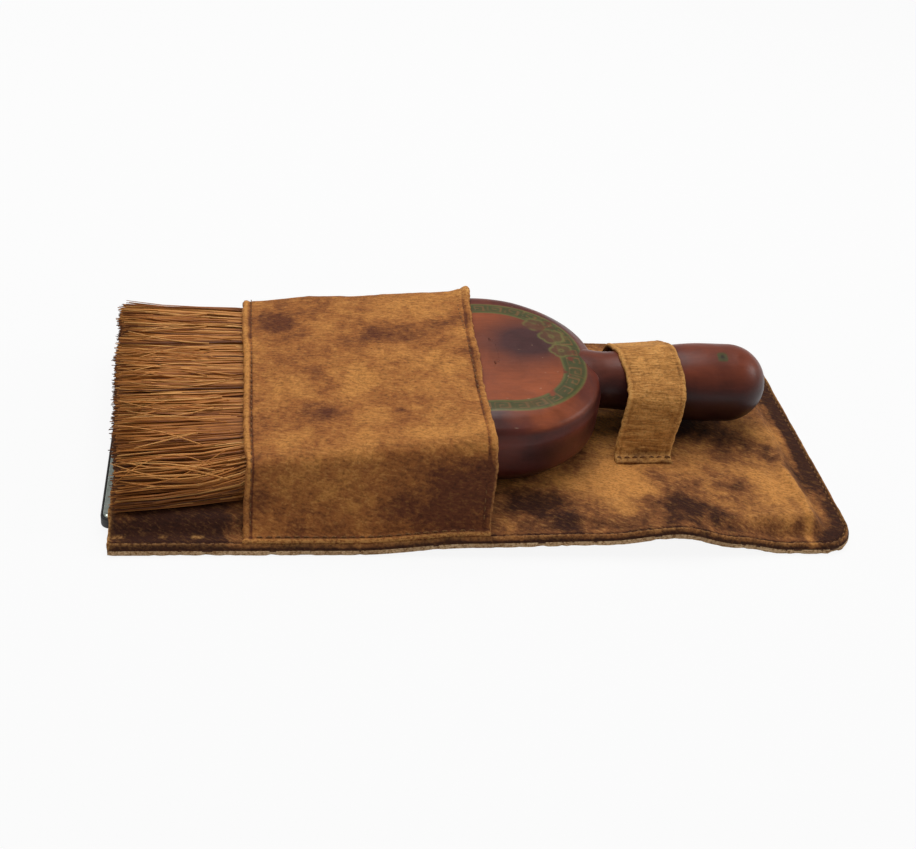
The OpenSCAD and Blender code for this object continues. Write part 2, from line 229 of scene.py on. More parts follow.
def tubes(paths, radius, sides=4, taper=None, closed=False):
    """Points and faces of round tubes along paths of shape (tubes, steps, 3)."""
    count, steps = paths.shape[:2]
    if closed:
        along = np.roll(paths, -1, axis=1) - np.roll(paths, 1, axis=1)
    else:
        along = np.gradient(paths, axis=1)
    along /= np.linalg.norm(along, axis=-1, keepdims=True)
    across = np.cross(along, [0.03, 0.02, 1.0])
    across /= np.maximum(np.linalg.norm(across, axis=-1, keepdims=True), 1e-9)
    up = np.cross(across, along)
    r = np.broadcast_to(np.asarray(radius, float).reshape(-1, 1, 1), (count, steps, 1))
    if taper is not None:
        r = r * np.asarray(taper, float).reshape(1, steps, 1)
    rings = [
        paths + r * (math.cos(a) * across + math.sin(a) * up)
        for a in (2 * math.pi * (k + 0.5) / sides for k in range(sides))
    ]
    points = np.stack(rings, 2)
    if closed:
        points = np.concatenate([points, points[:, :1]], 1)
    rows = points.shape[1]
    one = grid_faces(rows, sides, wrap=True)
    start = (np.arange(count) * rows * sides)[:, None, None]
    faces = [(one[None] + start).reshape(-1, 4)]
    if not closed:
        cap = np.arange(sides)
        ends = np.stack([cap[::-1], cap + (rows - 1) * sides])
        faces.append((ends[None] + start).reshape(-1, sides))
    return points.reshape(-1, 3), faces


def plan_ring(x0, x1, half_w, y, r0, r1, inset, side_n, arc_n):
    """Rounded rectangle, drawn in by inset, with corner radii r0 at x0 and r1 at x1."""
    x0, x1, half_w = x0 + inset, x1 - inset, half_w - inset
    r0, r1 = max(r0 - inset, 0.3), max(r1 - inset, 0.3)
    corners = [(x1, 1, r1, 0), (x0, 1, r0, 90), (x0, -1, r0, 180), (x1, -1, r1, 270)]
    arcs = []
    for x, side, r, start in corners:
        middle = np.array([x - r if x == x1 else x + r, side * (half_w - r)])
        a = np.radians(start + np.linspace(0, 90, arc_n))
        arcs.append(middle + r * np.stack([np.cos(a), np.sin(a)], -1))
    ring = []
    for arc, after in zip(arcs, arcs[1:] + arcs[:1]):
        ring.append(arc)
        step = np.linspace(0, 1, side_n + 2)[1:-1, None]
        ring.append(arc[-1] + (after[0] - arc[-1]) * step)
    return np.concatenate(ring) + [0, y]


# ---------------------------------------------------------------- materials

def rgb(r, g, b):
    """Linear colour from an 8-bit display colour."""
    def linear(c):
        c /= 255
        return c / 12.92 if c <= 0.04045 else ((c + 0.055) / 1.055) ** 2.4
    return (linear(r), linear(g), linear(b), 1.0)


class Shader:
    """A node material, with short calls for the nodes that the finishes share."""

    def __init__(self, name, **sockets):
        self.material = bpy.data.materials.new(name)
        self.material.use_nodes = True
        self.tree = self.material.node_tree
        self.surface = self.tree.nodes["Principled BSDF"]
        self.output = self.tree.nodes["Material Output"]
        for socket, value in sockets.items():
            self.surface.inputs[socket.replace("_", " ")].default_value = value
        self.place = self.tree.nodes.new("ShaderNodeTexCoord").outputs["Object"]

    def set(self, socket, source):
        if isinstance(source, bpy.types.NodeSocket):
            self.tree.links.new(source, socket)
        else:
            socket.default_value = source

    def stretched(self, size, turn=0):
        """Coordinates whose unit is size millimetres along axes turned about Z."""
        node = self.tree.nodes.new("ShaderNodeMapping")
        node.vector_type = "TEXTURE"
        node.inputs["Scale"].default_value = [a * MM for a in size]
        node.inputs["Rotation"].default_value = (0, 0, math.radians(turn))
        self.set(node.inputs["Vector"], self.place)
        return node.outputs[0]

    def noise(self, scale, detail=4, rough=0.55, distortion=0, place=None):
        node = self.tree.nodes.new("ShaderNodeTexNoise")
        self.set(node.inputs["Vector"], place or self.place)
        node.inputs["Scale"].default_value = scale
        node.inputs["Detail"].default_value = detail
        node.inputs["Roughness"].default_value = rough
        node.inputs["Distortion"].default_value = distortion
        return node.outputs[0]

    def cells(self, scale):
        node = self.tree.nodes.new("ShaderNodeTexVoronoi")
        self.set(node.inputs["Vector"], self.place)
        node.inputs["Scale"].default_value = scale
        return node.outputs["Distance"]

    def tag(self, name, colour=False):
        node = self.tree.nodes.new("ShaderNodeAttribute")
        node.attribute_name = name
        return node.outputs["Color" if colour else "Fac"]

    def ramp(self, value, *stops):
        node = self.tree.nodes.new("ShaderNodeValToRGB")
        elements = node.color_ramp.elements
        while len(elements) < len(stops):
            elements.new(0.5)
        for element, (at, colour) in zip(elements, stops):
            element.position = at
            element.color = colour if isinstance(colour, tuple) else (colour,) * 3 + (1,)
        self.set(node.inputs[0], value)
        return node.outputs[0]

    def math(self, kind, a, b=0.0, clamp=False):
        node = self.tree.nodes.new("ShaderNodeMath")
        node.operation = kind
        node.use_clamp = clamp
        self.set(node.inputs[0], a)
        self.set(node.inputs[1], b)
        return node.outputs[0]

    def mix(self, factor, a, b, kind="MIX"):
        node = self.tree.nodes.new("ShaderNodeMix")
        node.data_type = "RGBA"
        node.blend_type = kind
        self.set(node.inputs[0], factor)
        self.set(node.inputs[6], a)
        self.set(node.inputs[7], b)
        return node.outputs[2]

    def bump(self, height, distance, strength=1.0, under=None):
        node = self.tree.nodes.new("ShaderNodeBump")
        node.inputs["Distance"].default_value = distance
        node.inputs["Strength"].default_value = strength
        self.set(node.inputs["Height"], height)
        if under is not None:
            self.set(node.inputs["Normal"], under)
        return node.outputs[0]

    def finish(self, colour, roughness, normal):
        self.set(self.surface.inputs["Base Color"], colour)
        self.set(self.surface.inputs["Roughness"], roughness)
        self.set(self.surface.inputs["Normal"], normal)
        return self.material


def leather(name, dark, mid, light, raw, nap=(2.8, 0.8, 1.0), turn=-28, depth=0.6):
    """Pulled-up waxed hide: mottled, with a streaky nap and pale raw edges.

    The point attribute shade darkens below 0 and lightens above it; it carries the hide's blotches together with
    painted shade and painted highlights. The point attribute edge shows raw hide.
    """
    s = Shader(name, Sheen_Weight=0.04, Sheen_Roughness=0.5, Specular_IOR_Level=0.14)
    s.surface.inputs["Sheen Tint"].default_value = light
    tone_and_shade = s.math("MULTIPLY", s.noise(32, 3, 0.55, 0.5), 0.42)
    tone_and_shade = s.math("ADD", tone_and_shade, s.math("MULTIPLY", s.noise(100, 5, 0.62, 0.7), 0.36))
    tone_and_shade = s.math("ADD", tone_and_shade, s.math("MULTIPLY", s.noise(420, 4, 0.65), 0.22))
    tone_and_shade = s.math("ADD", tone_and_shade, s.math("MULTIPLY", s.tag("shade"), 0.15))
    colour = s.ramp(tone_and_shade, (0.36, dark), (0.49, mid), (0.63, light))
    streak = s.noise(1, 4, 0.68, 0.3, place=s.stretched(nap, turn))
    bright = s.ramp(streak, (0.52, 0.0), (0.68, 1.0))
    reach = s.ramp(tone_and_shade, (0.36, 0.2 * depth), (0.54, 0.75 * depth))
    colour = s.mix(s.math("MULTIPLY", bright, reach), colour, raw)
    colour = s.mix(depth, colour, s.ramp(streak, (0.34, 0.42), (0.5, 1.0)), "MULTIPLY")
    pore = s.noise(1, 3, 0.6, place=s.stretched((0.9, 0.9, 0.9)))
    colour = s.mix(0.55, colour, s.ramp(pore, (0.36, 0.45), (0.5, 1.0)), "MULTIPLY")
    raw_colour = s.ramp(pore, (0.36, mid), (0.56, raw))
    worn = s.math("MULTIPLY", s.tag("edge"), s.math("ADD", pore, 0.4, True), True)
    colour = s.mix(worn, colour, raw_colour)
    rough = s.ramp(s.math("ADD", streak, s.math("MULTIPLY", s.tag("edge"), 0.4)), (0.3, 0.62), (0.8, 0.9))
    grain = s.bump(s.cells(1150), 0.00012, 0.5)
    crease = s.bump(s.noise(260, 4, 0.6, 1.5), 0.0006, 0.5, grain)
    return s.finish(colour, rough, s.bump(streak, 0.00035, 0.8, crease))


def thread_finish(name, dark, light):
    s = Shader(name, Specular_IOR_Level=0.3)
    twist = s.noise(1, 4, 0.6, place=s.stretched((0.5, 0.5, 0.5)))
    colour = s.ramp(twist, (0.35, dark), (0.65, light))
    return s.finish(colour, s.ramp(twist, (0.3, 0.65), (0.7, 0.85)), s.bump(twist, 0.0002, 0.6))


def fibre_finish():
    """Broom fibre; a point attribute varies it from one fibre to the next and darkens the fibres deep in the bundle as
    painted shade.
    """
    s = Shader("broom_fibre", Specular_IOR_Level=0.35)
    along = s.noise(1, 4, 0.6, place=s.stretched((8, 0.7, 0.7)))
    value = s.math("ADD", s.math("MULTIPLY", along, 0.35), s.math("MULTIPLY", s.tag("tone_and_shade"), 0.75))
    colour = s.ramp(value, (0.10, rgb(58, 28, 10)), (0.34, rgb(132, 74, 26)), (0.62, rgb(188, 118, 50)),
        (0.92, rgb(222, 164, 92)))
    return s.finish(colour, s.ramp(along, (0.3, 0.45), (0.7, 0.65)), s.bump(along, 0.0001, 0.5))


def lacquer_finish(name):
    """Satin lacquer over wood; a colour point attribute holds its paint colour together with painted shade and painted
    highlights.
    """
    s = Shader(name, Coat_Weight=0.08, Coat_Roughness=0.25, Specular_IOR_Level=0.24)
    cloud = s.noise(120, 5, 0.6, 0.8)
    streak = s.noise(1, 5, 0.65, place=s.stretched((7, 1.1, 1.1)))
    colour = s.mix(0.45, s.tag("paint_and_shading", True), s.ramp(cloud, (0.3, 0.45), (0.7, 1.0)), "MULTIPLY")
    colour = s.mix(0.35, colour, s.ramp(streak, (0.35, 0.55), (0.7, 1.0)), "MULTIPLY")
    scuff = s.ramp(s.noise(1, 5, 0.8, place=s.stretched((3.2, 0.6, 1.2), 25)), (0.66, 0.0), (0.76, 1.0))
    colour = s.mix(s.math("MULTIPLY", scuff, 0.3), colour, rgb(160, 96, 66))
    rough = s.ramp(s.math("ADD", cloud, s.math("MULTIPLY", scuff, 0.3)), (0.3, 0.34), (0.8, 0.5))
    return s.finish(colour, rough, s.bump(streak, 0.00012, 0.35, s.bump(cloud, 0.0005, 0.25)))


def mirror_finish():
    s = Shader("silvered_glass", Metallic=0.85, Coat_Weight=0.6, Coat_Roughness=0.08)
    haze = s.noise(220, 6, 0.7, 0.5)
    specks = s.ramp(s.cells(900), (0.05, 1.0), (0.16, 0.0))
    colour = s.ramp(haze, (0.3, rgb(150, 160, 148)), (0.7, rgb(206, 212, 204)))
    colour = s.mix(s.math("MULTIPLY", specks, 0.25), colour, rgb(52, 50, 42))
    return s.finish(colour, s.ramp(haze, (0.3, 0.1), (0.7, 0.18)), s.bump(haze, 0.00005, 0.1))


def plain_finish(name, dark, light, scale, rough=(0.6, 0.85), **sockets):
    """A mottled finish for the small and hidden pieces."""
    s = Shader(name, **sockets)
    cloud = s.noise(scale, 6, 0.7, 0.4)
    colour = s.ramp(cloud, (0.35, dark), (0.68, light))
    return s.finish(colour, s.ramp(cloud, (0.3, rough[0]), (0.7, rough[1])), s.bump(cloud, 0.0003, 0.5))


CASE_LEATHER = leather("case_hide", rgb(60, 30, 18), rgb(136, 84, 46), rgb(200, 136, 70), rgb(216, 160, 94))
BACK_LEATHER = leather("back_hide", rgb(104, 72, 46), rgb(156, 114, 74), rgb(196, 152, 108), rgb(222, 188, 146))
BAND_LEATHER = leather("band_hide", rgb(100, 54, 32), rgb(158, 97, 49), rgb(198, 134, 68), rgb(216, 158, 90),
    turn=-18)
LOOP_LEATHER = leather("loop_hide", rgb(108, 66, 34), rgb(178, 120, 60), rgb(212, 150, 80), rgb(230, 178, 108),
    nap=(5.0, 0.7, 0.6), turn=0, depth=0.75)
THREAD = thread_finish("waxed_thread", rgb(74, 46, 26), rgb(150, 104, 60))
TWINE = thread_finish("hemp_twine", rgb(120, 88, 50), rgb(196, 158, 104))
FIBRE = fibre_finish()
LACQUER = lacquer_finish("red_lacquer")
MIRROR = mirror_finish()
BOARD = plain_finish("mirror_card", rgb(40, 36, 33), rgb(74, 66, 58), 500)
EDGING = plain_finish("edging_strip", rgb(16, 15, 14), rgb(44, 40, 36), 700, (0.45, 0.7))
PITCH = plain_finish("set_pitch", rgb(22, 14, 10), rgb(56, 36, 24), 300, (0.2, 0.5))
BRAD = plain_finish("brad_steel", rgb(112, 108, 100), rgb(176, 172, 164), 900, (0.3, 0.55), Metallic=1.0)


# ---------------------------------------------------------------- the case

# How far the near edge curls up off the table: place along the case, height
CURL = [(-48, 0.0), (-8, 3.0), (36, 4.0), (62, 7.0), (84, 2.6), (102, 0.0)]


def curl(x):
    """Height of the near edge's curl, with smooth steps between the given places."""
    x = np.asarray(x, float)
    height = np.zeros_like(x)
    for (xa, za), (xb, zb) in zip(CURL, CURL[1:]):
        inside = (x >= xa) & (x < xb)
        height = np.where(inside, za + (zb - za) * ramp(x, xa, xb), height)
    return height


def edge_distance(x, y):
    """Distance in from the case's three sewn edges."""
    x, y = np.broadcast_arrays(np.asarray(x, float), np.asarray(y, float))
    dx, dy = END_X - x, HALF_W - np.abs(y)
    cx, cy = CORNER_R - dx, CORNER_R - dy
    corner = CORNER_R - np.hypot(np.maximum(cx, 0), np.maximum(cy, 0))
    return np.where((cx > 0) & (cy > 0), corner, np.minimum(dx, dy))


def pocket_share(x, y):
    """0 on the sewn margin, 1 on top of the pocket that holds the mirror."""
    side = ramp(HALF_W - np.abs(y), 4.1, 10.4)
    end = ramp(END_X - np.asarray(x, float), 8.5, 16.5)
    return side * end


def puff(x, y):
    """Loose leather on the pocket beside and behind the brush."""
    near = 3.0 * hill(x, 60, 27) * ramp(y, -16, -46)
    near = near + 1.0 * ramp(x, 88, 104) * ramp(y, -20, -40)
    far = 1.2 * hill(x, 88, 22) * hill(y, 38, 14)
    loose = ramp(x, 40, 56) * (1 - hill(y, BRUSH_Y, 17))
    wander = 0.9 * layers(flat(x, y), 24, 5, 3) * np.maximum(loose, ramp(y, -46, -52))
    ridge = 1.5 * hill(x, 111.5, 2.0) * ramp(y, -18, -34)
    return near + far + wander + ridge


def case_top(x, y):
    """Top of the front ply."""
    d = edge_distance(x, y)
    share = pocket_share(x, y)
    lift = curl(x) * (np.asarray(y, float) < 0)
    hem = HEM_Z + lift * (1 - share)
    top = hem + (TOP_Z - HEM_Z) * share + puff(x, y) * share
    roll = 0.35 * hill(d, 1.0, 0.6) - 0.6 * hill(d, EDGE_IN, 0.38) - 1.4 * ramp(d, 1.0, 0)
    margin = 0.22 * layers(flat(x, y), 5, 21, 3) * (1 - share) * ramp(d, 0, 1.5)
    grain = 0.10 * layers(flat(x, y), 3.2, 31, 3)
    return top + roll + margin + grain


def case_inside(x, y):
    """Inside of the front ply, over the mirror or on the back ply."""
    share = pocket_share(x, y)
    lift = curl(x) * (np.asarray(y, float) < 0)
    loose = np.maximum(puff(x, y) - 0.9, 0) * share
    return PLY + lift * (1 - share) + (TOP_Z - HEM_Z) * share + loose


def case_grid(step, edge_step):
    """Plan grid of the case, finer along its edges, following the rounded corners."""
    x_corner = END_X - CORNER_R
    straight = np.arange(OPEN_X, x_corner, step)
    turn = np.linspace(0, math.pi / 2, 26)
    x = np.concatenate([straight, x_corner + CORNER_R * np.sin(turn)])
    half = np.concatenate([np.full(len(straight), HALF_W), HALF_W - CORNER_R + CORNER_R * np.cos(turn)])
    margin = 8.0
    outer = np.arange(0, margin, edge_step)
    inner = np.linspace(margin, HALF_W, int((HALF_W - margin) / step))
    v = 1 - np.concatenate([outer, inner]) / HALF_W
    v = np.concatenate([-v, v[-2::-1]])
    return np.broadcast_to(x[:, None], (len(x), len(v))), half[:, None] * v[None, :]


# Blotches: place along and across, size, and shade (below 0 dark, above 0 bright)
CASE_BLOTCHES = [
    (12, -50, 9, -1.0), (23, -56, 6, -0.8), (66, -49, 9, -1.2), (54, -45, 6, -0.7), (76, -53, 6, -0.8),
    (95, -10, 9, -1.1), (82, 2, 10, -1.2), (105, -16, 3, -0.9), (89, -42, 4, -0.9), (100, 30, 14, -0.7),
    (44, -34, 9, 0.9), (29, -34, 6, 0.8), (55, -39, 7, 0.5), (103, -37, 9, 0.9), (112, -44, 5, 0.8),
    (116, -6, 8, 0.6), (104, 8, 6, 0.5), (-100, -58, 12, -0.9), (-70, -58, 10, -0.5),
]
BAND_BLOTCHES = [
    (-77, 33, 7, -0.9), (-69, 30, 6, -0.9), (-62, 22, 5, -0.6), (-47, 27, 5, -0.7), (-39, 18, 6, -0.9),
    (-27, 17, 6, -0.8), (-60, -7, 5, -0.9), (-51, -8, 4, -0.7), (-58, -29, 6, -0.9), (-31, -31, 4, -1.0),
    (-20, -28, 9, 0.7), (-11, -12, 9, 0.7), (-44, -10, 8, 0.5), (-70, -44, 8, 0.5), (-20, 38, 8, 0.6),
]


def blotched(x, y, blotches, seed):
    """Shade of the blotches at x, y, with ragged outlines."""
    where = flat(x, y)
    x = x + 4.0 * layers(where, 9, seed, 3)
    y = y + 4.0 * layers(where, 9, seed + 40, 3)
    return sum(shade * np.exp(-((x - bx) ** 2 + (y - by) ** 2) / size ** 2) for bx, by, size, shade in blotches)


def make_case():
    x, y = case_grid(0.95, 0.4)
    top, under = case_top(x, y), case_inside(x, y)
    d = edge_distance(x, y)
    ragged = 0.5 * layers(flat(x, y), 2.2, 11, 3)
    open_edge = ramp(x, OPEN_X + 1.2, OPEN_X)
    out_x = x - open_edge * (0.5 + ragged) * 0.6
    bent = 1.0 * layers(flat(x * 0.3, y), 7, 15, 3) * ramp(x, OPEN_X + 14, OPEN_X) * ramp(y, -44, -54)
    outer = np.stack([out_x, y, top + bent * 0.5], -1)
    inner = np.stack([out_x, y, np.minimum(under + np.maximum(bent, 0) * 0.4, top - 0.9)], -1)
    shade = blotched(x, y, CASE_BLOTCHES, 61)
    # Painted shade on the sloping margin at the right end and in the stitch groove along the edge; the flat sewn margin
    # is a little darker too.
    margin = ramp(d, 8.5, 5.5) * ramp(d, 0.8, 2.6) * ramp(x, 104, 118)
    patchy = 0.75 + 0.5 * noise(flat(x, y), 11, 63)
    shade = shade - 1.5 * margin * patchy - 1.3 * hill(d, EDGE_IN, 0.4) - 0.25 * (1 - pocket_share(x, y))
    # Painted highlight along the ridge over the mirror's corner; a patch at the far right is darker.
    shade = shade + 1.2 * hill(x, 111.0, 1.6) * ramp(y, -20, -34) - 0.8 * hill(x, 101, 8) * hill(y, 50, 10)
    shade = shade - 0.9 * ramp(x, -80, -100) * ramp(y, -40, -50)
    # Painted shade where the top rolls down to the cut edge.
    shade = shade - 1.2 * ramp(d, 0.6, 0)
    edge = np.maximum(0.6 * hill(d, 1.1, 0.45), open_edge)
    edge = edge * (0.55 + 0.45 * noise(flat(x, y), 6, 71)) + 0.7 * hill(d, 4.6, 0.5) * ramp(x, -84, -95) * ramp(
        noise(flat(x, y), 3.5, 73), -0.1, 0.5)
    points, faces = sheet_solid(outer, inner)
    # The underside of the ply gets painted shade: it is darker than the top.
    tags = {"shade": np.concatenate([shade.ravel(), shade.ravel() - 1.2]),
        "edge": np.concatenate([np.clip(edge, 0, 1).ravel(), np.full(edge.size, 0.1)])}
    make_piece("case_front_leather", points, faces, CASE_LEATHER, "case", ["front_panel"], tags)

    x, y = case_grid(1.6, 0.5)
    d = edge_distance(x, y)
    lift = curl(x) * (y < 0) * ramp(d, 10.2, 3)
    fuzz = ramp(d, 0.8, 0) * layers(np.stack([x, y, x * 0], -1), 1.6, 81, 3)
    grow = 1 + (0.15 + 0.35 * fuzz) / HALF_W
    under = 0.12 * layers(flat(x, y), 9, 85, 3) * ramp(d, 0, 3)
    outer = np.stack([x, y * grow, np.full_like(x, PLY - 0.03) + lift], -1)
    inner = np.stack([x, y * grow, np.abs(under) + lift + 0.25 * np.abs(fuzz)], -1)
    points, faces = sheet_solid(outer, inner)
    edge = ramp(d, 1.5, 0) * (0.7 + 0.3 * noise(flat(x, y), 5, 91))
    shade = 0.3 * layers(flat(x, y), 20, 95, 3)
    tags = {"shade": np.tile(shade.ravel(), 2), "edge": np.tile(edge.ravel(), 2)}
    make_piece("case_back_leather", points, faces, BACK_LEATHER, "case", ["back_panel"], tags)


# ---------------------------------------------------------------- stitches

def stitches(name, places, along, up, body, nodes, length=2.1, radius=0.34, rise=0.2):
    """Short arched threads at places, each running along, its middle raised along up."""
    t = np.linspace(-1, 1, 7)
    arch = rise - (rise + 0.55) * np.abs(t) ** 3
    places, along, up = (np.asarray(a, float) for a in (places, along, up))
    paths = places[:, None] + along[:, None] * (t * length / 2)[None, :, None]
    paths = paths + up[:, None] * arch[None, :, None]
    points, faces = tubes(paths, radius, 6, 1 - 0.25 * t ** 2)
    make_piece(name, points, faces, THREAD, body, nodes)


def hem_route(pitch):
    """Places and directions of the stitches along the case's three sewn edges."""
    band_x0, band_x1 = band_low[0], band_high[0]
    r = CORNER_R - EDGE_IN
    y_line, x_line = HALF_W - EDGE_IN, END_X - EDGE_IN
    places, turns = [], []
    for side in (-1, 1):
        for a, b in ((OPEN_X + 1, band_x0 - 1), (band_x1 + 1, END_X - CORNER_R)):
            for x in np.arange(a + pitch / 2, b, pitch):
                places.append((x, side * y_line))
                turns.append(0)
        for a in np.arange(pitch / 2 / r, math.pi / 2, pitch / r):
            places.append((END_X - CORNER_R + r * math.sin(a), side * (HALF_W - CORNER_R + r * math.cos(a))))
            turns.append(-side * a)
    for y in np.arange(-HALF_W + CORNER_R + pitch / 2, HALF_W - CORNER_R, pitch):
        places.append((x_line, y))
        turns.append(math.pi / 2)
    return np.array(places), np.array(turns)


def make_hem_stitches():
    places, turns = hem_route(3.0)
    z = case_top(places[:, 0], places[:, 1]) + 0.12
    along = np.stack([np.cos(turns), np.sin(turns), np.zeros_like(turns)], -1)
    up = np.tile([0, 0, 1.0], (len(places), 1))
    stitches("edge_stitches", np.column_stack([places, z]), along, up, "case", ["edge_thread"],
        length=1.9, radius=0.3, rise=0.05)


# ---------------------------------------------------------------- the band

BAND_COUNT = 190                        # points across the band's section


def band_section(t, x):
    """Middle of the band's leather in the YZ plane, from t 0 at the bristles to 1 at the head."""
    foot = HEM_Z + STRAP / 2
    lift = float(curl(x))
    near = [(-62.4, foot + lift), (-59.4, foot + lift + 0.3)]
    low = [
        near[0], near[1], (-53.2, 11.5), (-49.3, 26.0), (0, 27.9), (51.4, 26.2), (55.0, 12.0),
        (59.4, foot + 0.2), (62.4, foot)
    ]
    high = [
        near[0], near[1], (-56.8, 15.5), (-49.4, 37.2), (3.5, 38.9), (48.0, 36.4), (54.6, 18.0),
        (59.4, foot + 0.2), (62.4, foot)
    ]
    share = ramp(t, 0.0, 1.0) * 0.25 + t * 0.75
    points = [np.array(a) + (np.array(b) - np.array(a)) * share for a, b in zip(low, high)]
    radii = [0, 2.2, 9, 3.2 + 2.8 * t, 60, 3.2 + 5.5 * t, 14, 2.2, 0]
    return rounded_path(points, radii, BAND_COUNT)


def band_surface(rows):
    """Middle points and outward normals of the band, as grids along X and across."""
    x0, x1 = band_low[0], band_high[0]
    xs = np.linspace(x0, x1, rows)
    middle, outward = [], []
    for x in xs:
        path = band_section((x - x0) / (x1 - x0), x)
        n = normals_2d(path)
        middle.append(np.column_stack([np.full(len(path), x), path]))
        outward.append(np.column_stack([np.zeros(len(path)), n]))
    return xs, np.array(middle), np.array(outward)


def make_band():
    rows = 150
    xs, middle, outward = band_surface(rows)
    x0, x1 = band_low[0], band_high[0]
    x = middle[..., 0]
    v = np.linspace(0, 1, BAND_COUNT)[None, :]
    feet = ramp(v, 0.045, 0.12) * ramp(v, 0.965, 0.9)
    end = np.minimum(x - x0, x1 - x)
    soft = (0.55 * layers(middle * [1, 1, 0.6], 20, 101, 3) + 0.25) * feet
    soft = soft + 0.10 * layers(middle, 3.5, 105, 3)
    dimple = -0.8 * hill(x, -42, 14) * hill(middle[..., 1], -18, 16)
    hem = 0.25 * hill(end, 1.1, 0.9) - 0.4 * hill(end, HEM_IN, 0.32) - 0.6 * ramp(end, 0.7, 0)
    seam = np.abs(np.abs(middle[..., 1]) - HALF_W + SEAM_IN)
    foot_line = -0.35 * hill(seam, 0, 0.5)
    out = middle + outward * (STRAP / 2 + soft + dimple * feet + hem + foot_line)[..., None]
    inn = middle - outward * (STRAP / 2 - np.maximum(soft + dimple * feet, -0.2) * 0.7)[..., None]
    fray = ramp(x, x1 - 7, x1) * hill(v, 0.755, 0.03)
    lean = np.stack([1.0 * fray, 0.3 * fray, 2.0 * fray], -1)
    ragged = 0.35 * layers(middle, 2.0, 111, 3) * ramp(end, 0.8, 0) * np.sign(x - (x0 + x1) / 2)
    lean[..., 0] += ragged + 0.9 * layers(middle * [0, 1, 1], 26, 115, 2) * ramp(end, 6, 0)
    lean[..., 0] += 2.4 * ramp(x, x1 - 30, x1) * ramp(middle[..., 1], 2, 32) * ramp(middle[..., 2], 20, 34)
    out, inn = out + lean, inn + lean
    y = middle[..., 1]
    shade = blotched(x, y, BAND_BLOTCHES, 121)
    # Painted shade down the band's near wall, with a ragged upper edge towards the right.
    wall = ramp(middle[..., 2], 36, 28) * ramp(y, -30, -46)
    ragged_wall = ramp(wall + 0.5 * layers(middle, 12, 123, 3), 0.25, 0.75)
    shade = shade - 0.6 * ragged_wall * ramp(x + 0.5 * y, -75, -38) - 0.2 * wall
    # Painted highlight along the near shoulder of the band, towards its right.
    shade = shade + 0.6 * hill(middle[..., 2], 36, 4) * hill(y, -44, 9) * ramp(x, -50, -15)
    left = ramp(x, -50, -60)
    # Painted shade in the hem stitch grooves and along the seam lines; the band is a little lighter than its sewn feet.
    shade = shade - 1.5 * hill(end, HEM_IN, 0.35) - 0.8 * hill(seam, 0, 0.35) + 0.15 * feet
    shade = shade + 0.8 * left * hill(end, 1.1, 0.9) * ramp(middle[..., 2], 8, 22)
    edge = (0.35 * left * hill(end, 1.1, 0.9) + 0.9 * (1 - left) * hill(end, 0.2, 0.45))
    edge = np.clip(edge * (0.7 + 0.3 * noise(middle, 5, 131)) + fray, 0, 1)
    edge = np.maximum(edge, 0.7 * ramp(v, 0.012, 0) + 0.7 * ramp(v, 0.988, 1))
    points, faces = sheet_solid(out, inn)
    # The underside gets painted shade: it is darker than the top.
    tags = {"shade": np.concatenate([shade.ravel(), shade.ravel() - 0.6]),
        "edge": np.concatenate([edge.ravel(), np.full(edge.size, 0.5)])}
    make_piece("band_leather", points, faces, BAND_LEATHER, "case", ["brush_band"], tags)


def make_band_stitches():
    x0, x1 = band_low[0], band_high[0]
    for side, at in (("left", x0 + HEM_IN), ("right", x1 - HEM_IN)):
        path = band_section((at - x0) / (x1 - x0), at)
        run = np.concatenate([[0], np.cumsum(np.linalg.norm(np.diff(path, axis=0), axis=1))])
        s = np.arange(7, run[-1] - 7, 3.0)
        n = normals_2d(path)
        y, z, ny, nz = (np.interp(s, run, a) for a in (path[:, 0], path[:, 1], n[:, 0], n[:, 1]))
        up = np.column_stack([np.zeros_like(s), ny, nz])
        along = np.column_stack([np.zeros_like(s), nz, -ny])
        places = np.column_stack([np.full_like(s, at), y, z]) + up * (STRAP / 2 + 0.1)
        stitches("band_hem_stitches_" + side, places, along, up, "case", ["band_hem_thread_" + side],
            length=1.8, radius=0.22, rise=0.02)
    for side, name in ((-1, "near"), (1, "far")):
        xs = np.arange(x0 + 5.5, x1 - 4.5, 3.0)
        y = np.full_like(xs, side * (HALF_W - SEAM_IN))
        z = HEM_Z + STRAP + (curl(xs) if side < 0 else np.zeros_like(xs))
        places = np.column_stack([xs, y, z + 0.1])
        along = np.tile([1.0, 0, 0], (len(xs), 1))
        up = np.tile([0, 0, 1.0], (len(xs), 1))
        stitches("band_seam_stitches_" + name, places, along, up, "case", ["band_seam_thread_" + name],
            radius=0.3, rise=0.15)


# ---------------------------------------------------------------- the handle and its loop

NECK_END = head_high[0] + 5.5
SWELL_END = head_high[0] + 43.5
TENON = 22.0


def handle_radius(x):
    """Radius of the handle: neck, swell and the round end of the bulb."""
    x = np.asarray(x, float)
    t = np.clip((x - NECK_END) / (SWELL_END - NECK_END), 0, 1)
    r = NECK_R + (BULB_R - NECK_R) * (1 - np.cos(math.pi * t)) / 2
    over = np.clip(x - (handle_high[0] - BULB_R), 0, BULB_R)
    return np.minimum(r, np.sqrt(np.maximum(BULB_R ** 2 - over ** 2, 0)))


def loop_section(x):
    """Middle of the loop's strap in the YZ plane, clear of the handle at x."""
    r = float(handle_radius(x))
    near, far = -20.3, 27.4
    z_near = float(case_top(x - 1, near - 2)) + STRAP / 2 + 0.1
    z_far = float(case_top(x, far + 2)) + STRAP / 2 + 0.1
    top = AXIS_Z + r + STRAP / 2 + 0.9
    side = r + 6.3
    points = [
        (near - FOOT_L, z_near - 0.3), (near, z_near), (BRUSH_Y - side, AXIS_Z + 5), (BRUSH_Y, top),
        (BRUSH_Y + side, AXIS_Z + 5), (far, z_far), (far + FOOT_L, z_far - 0.3)
    ]
    return rounded_path(points, [0, 1.6, 8, 13, 8, 1.6, 0], 150)


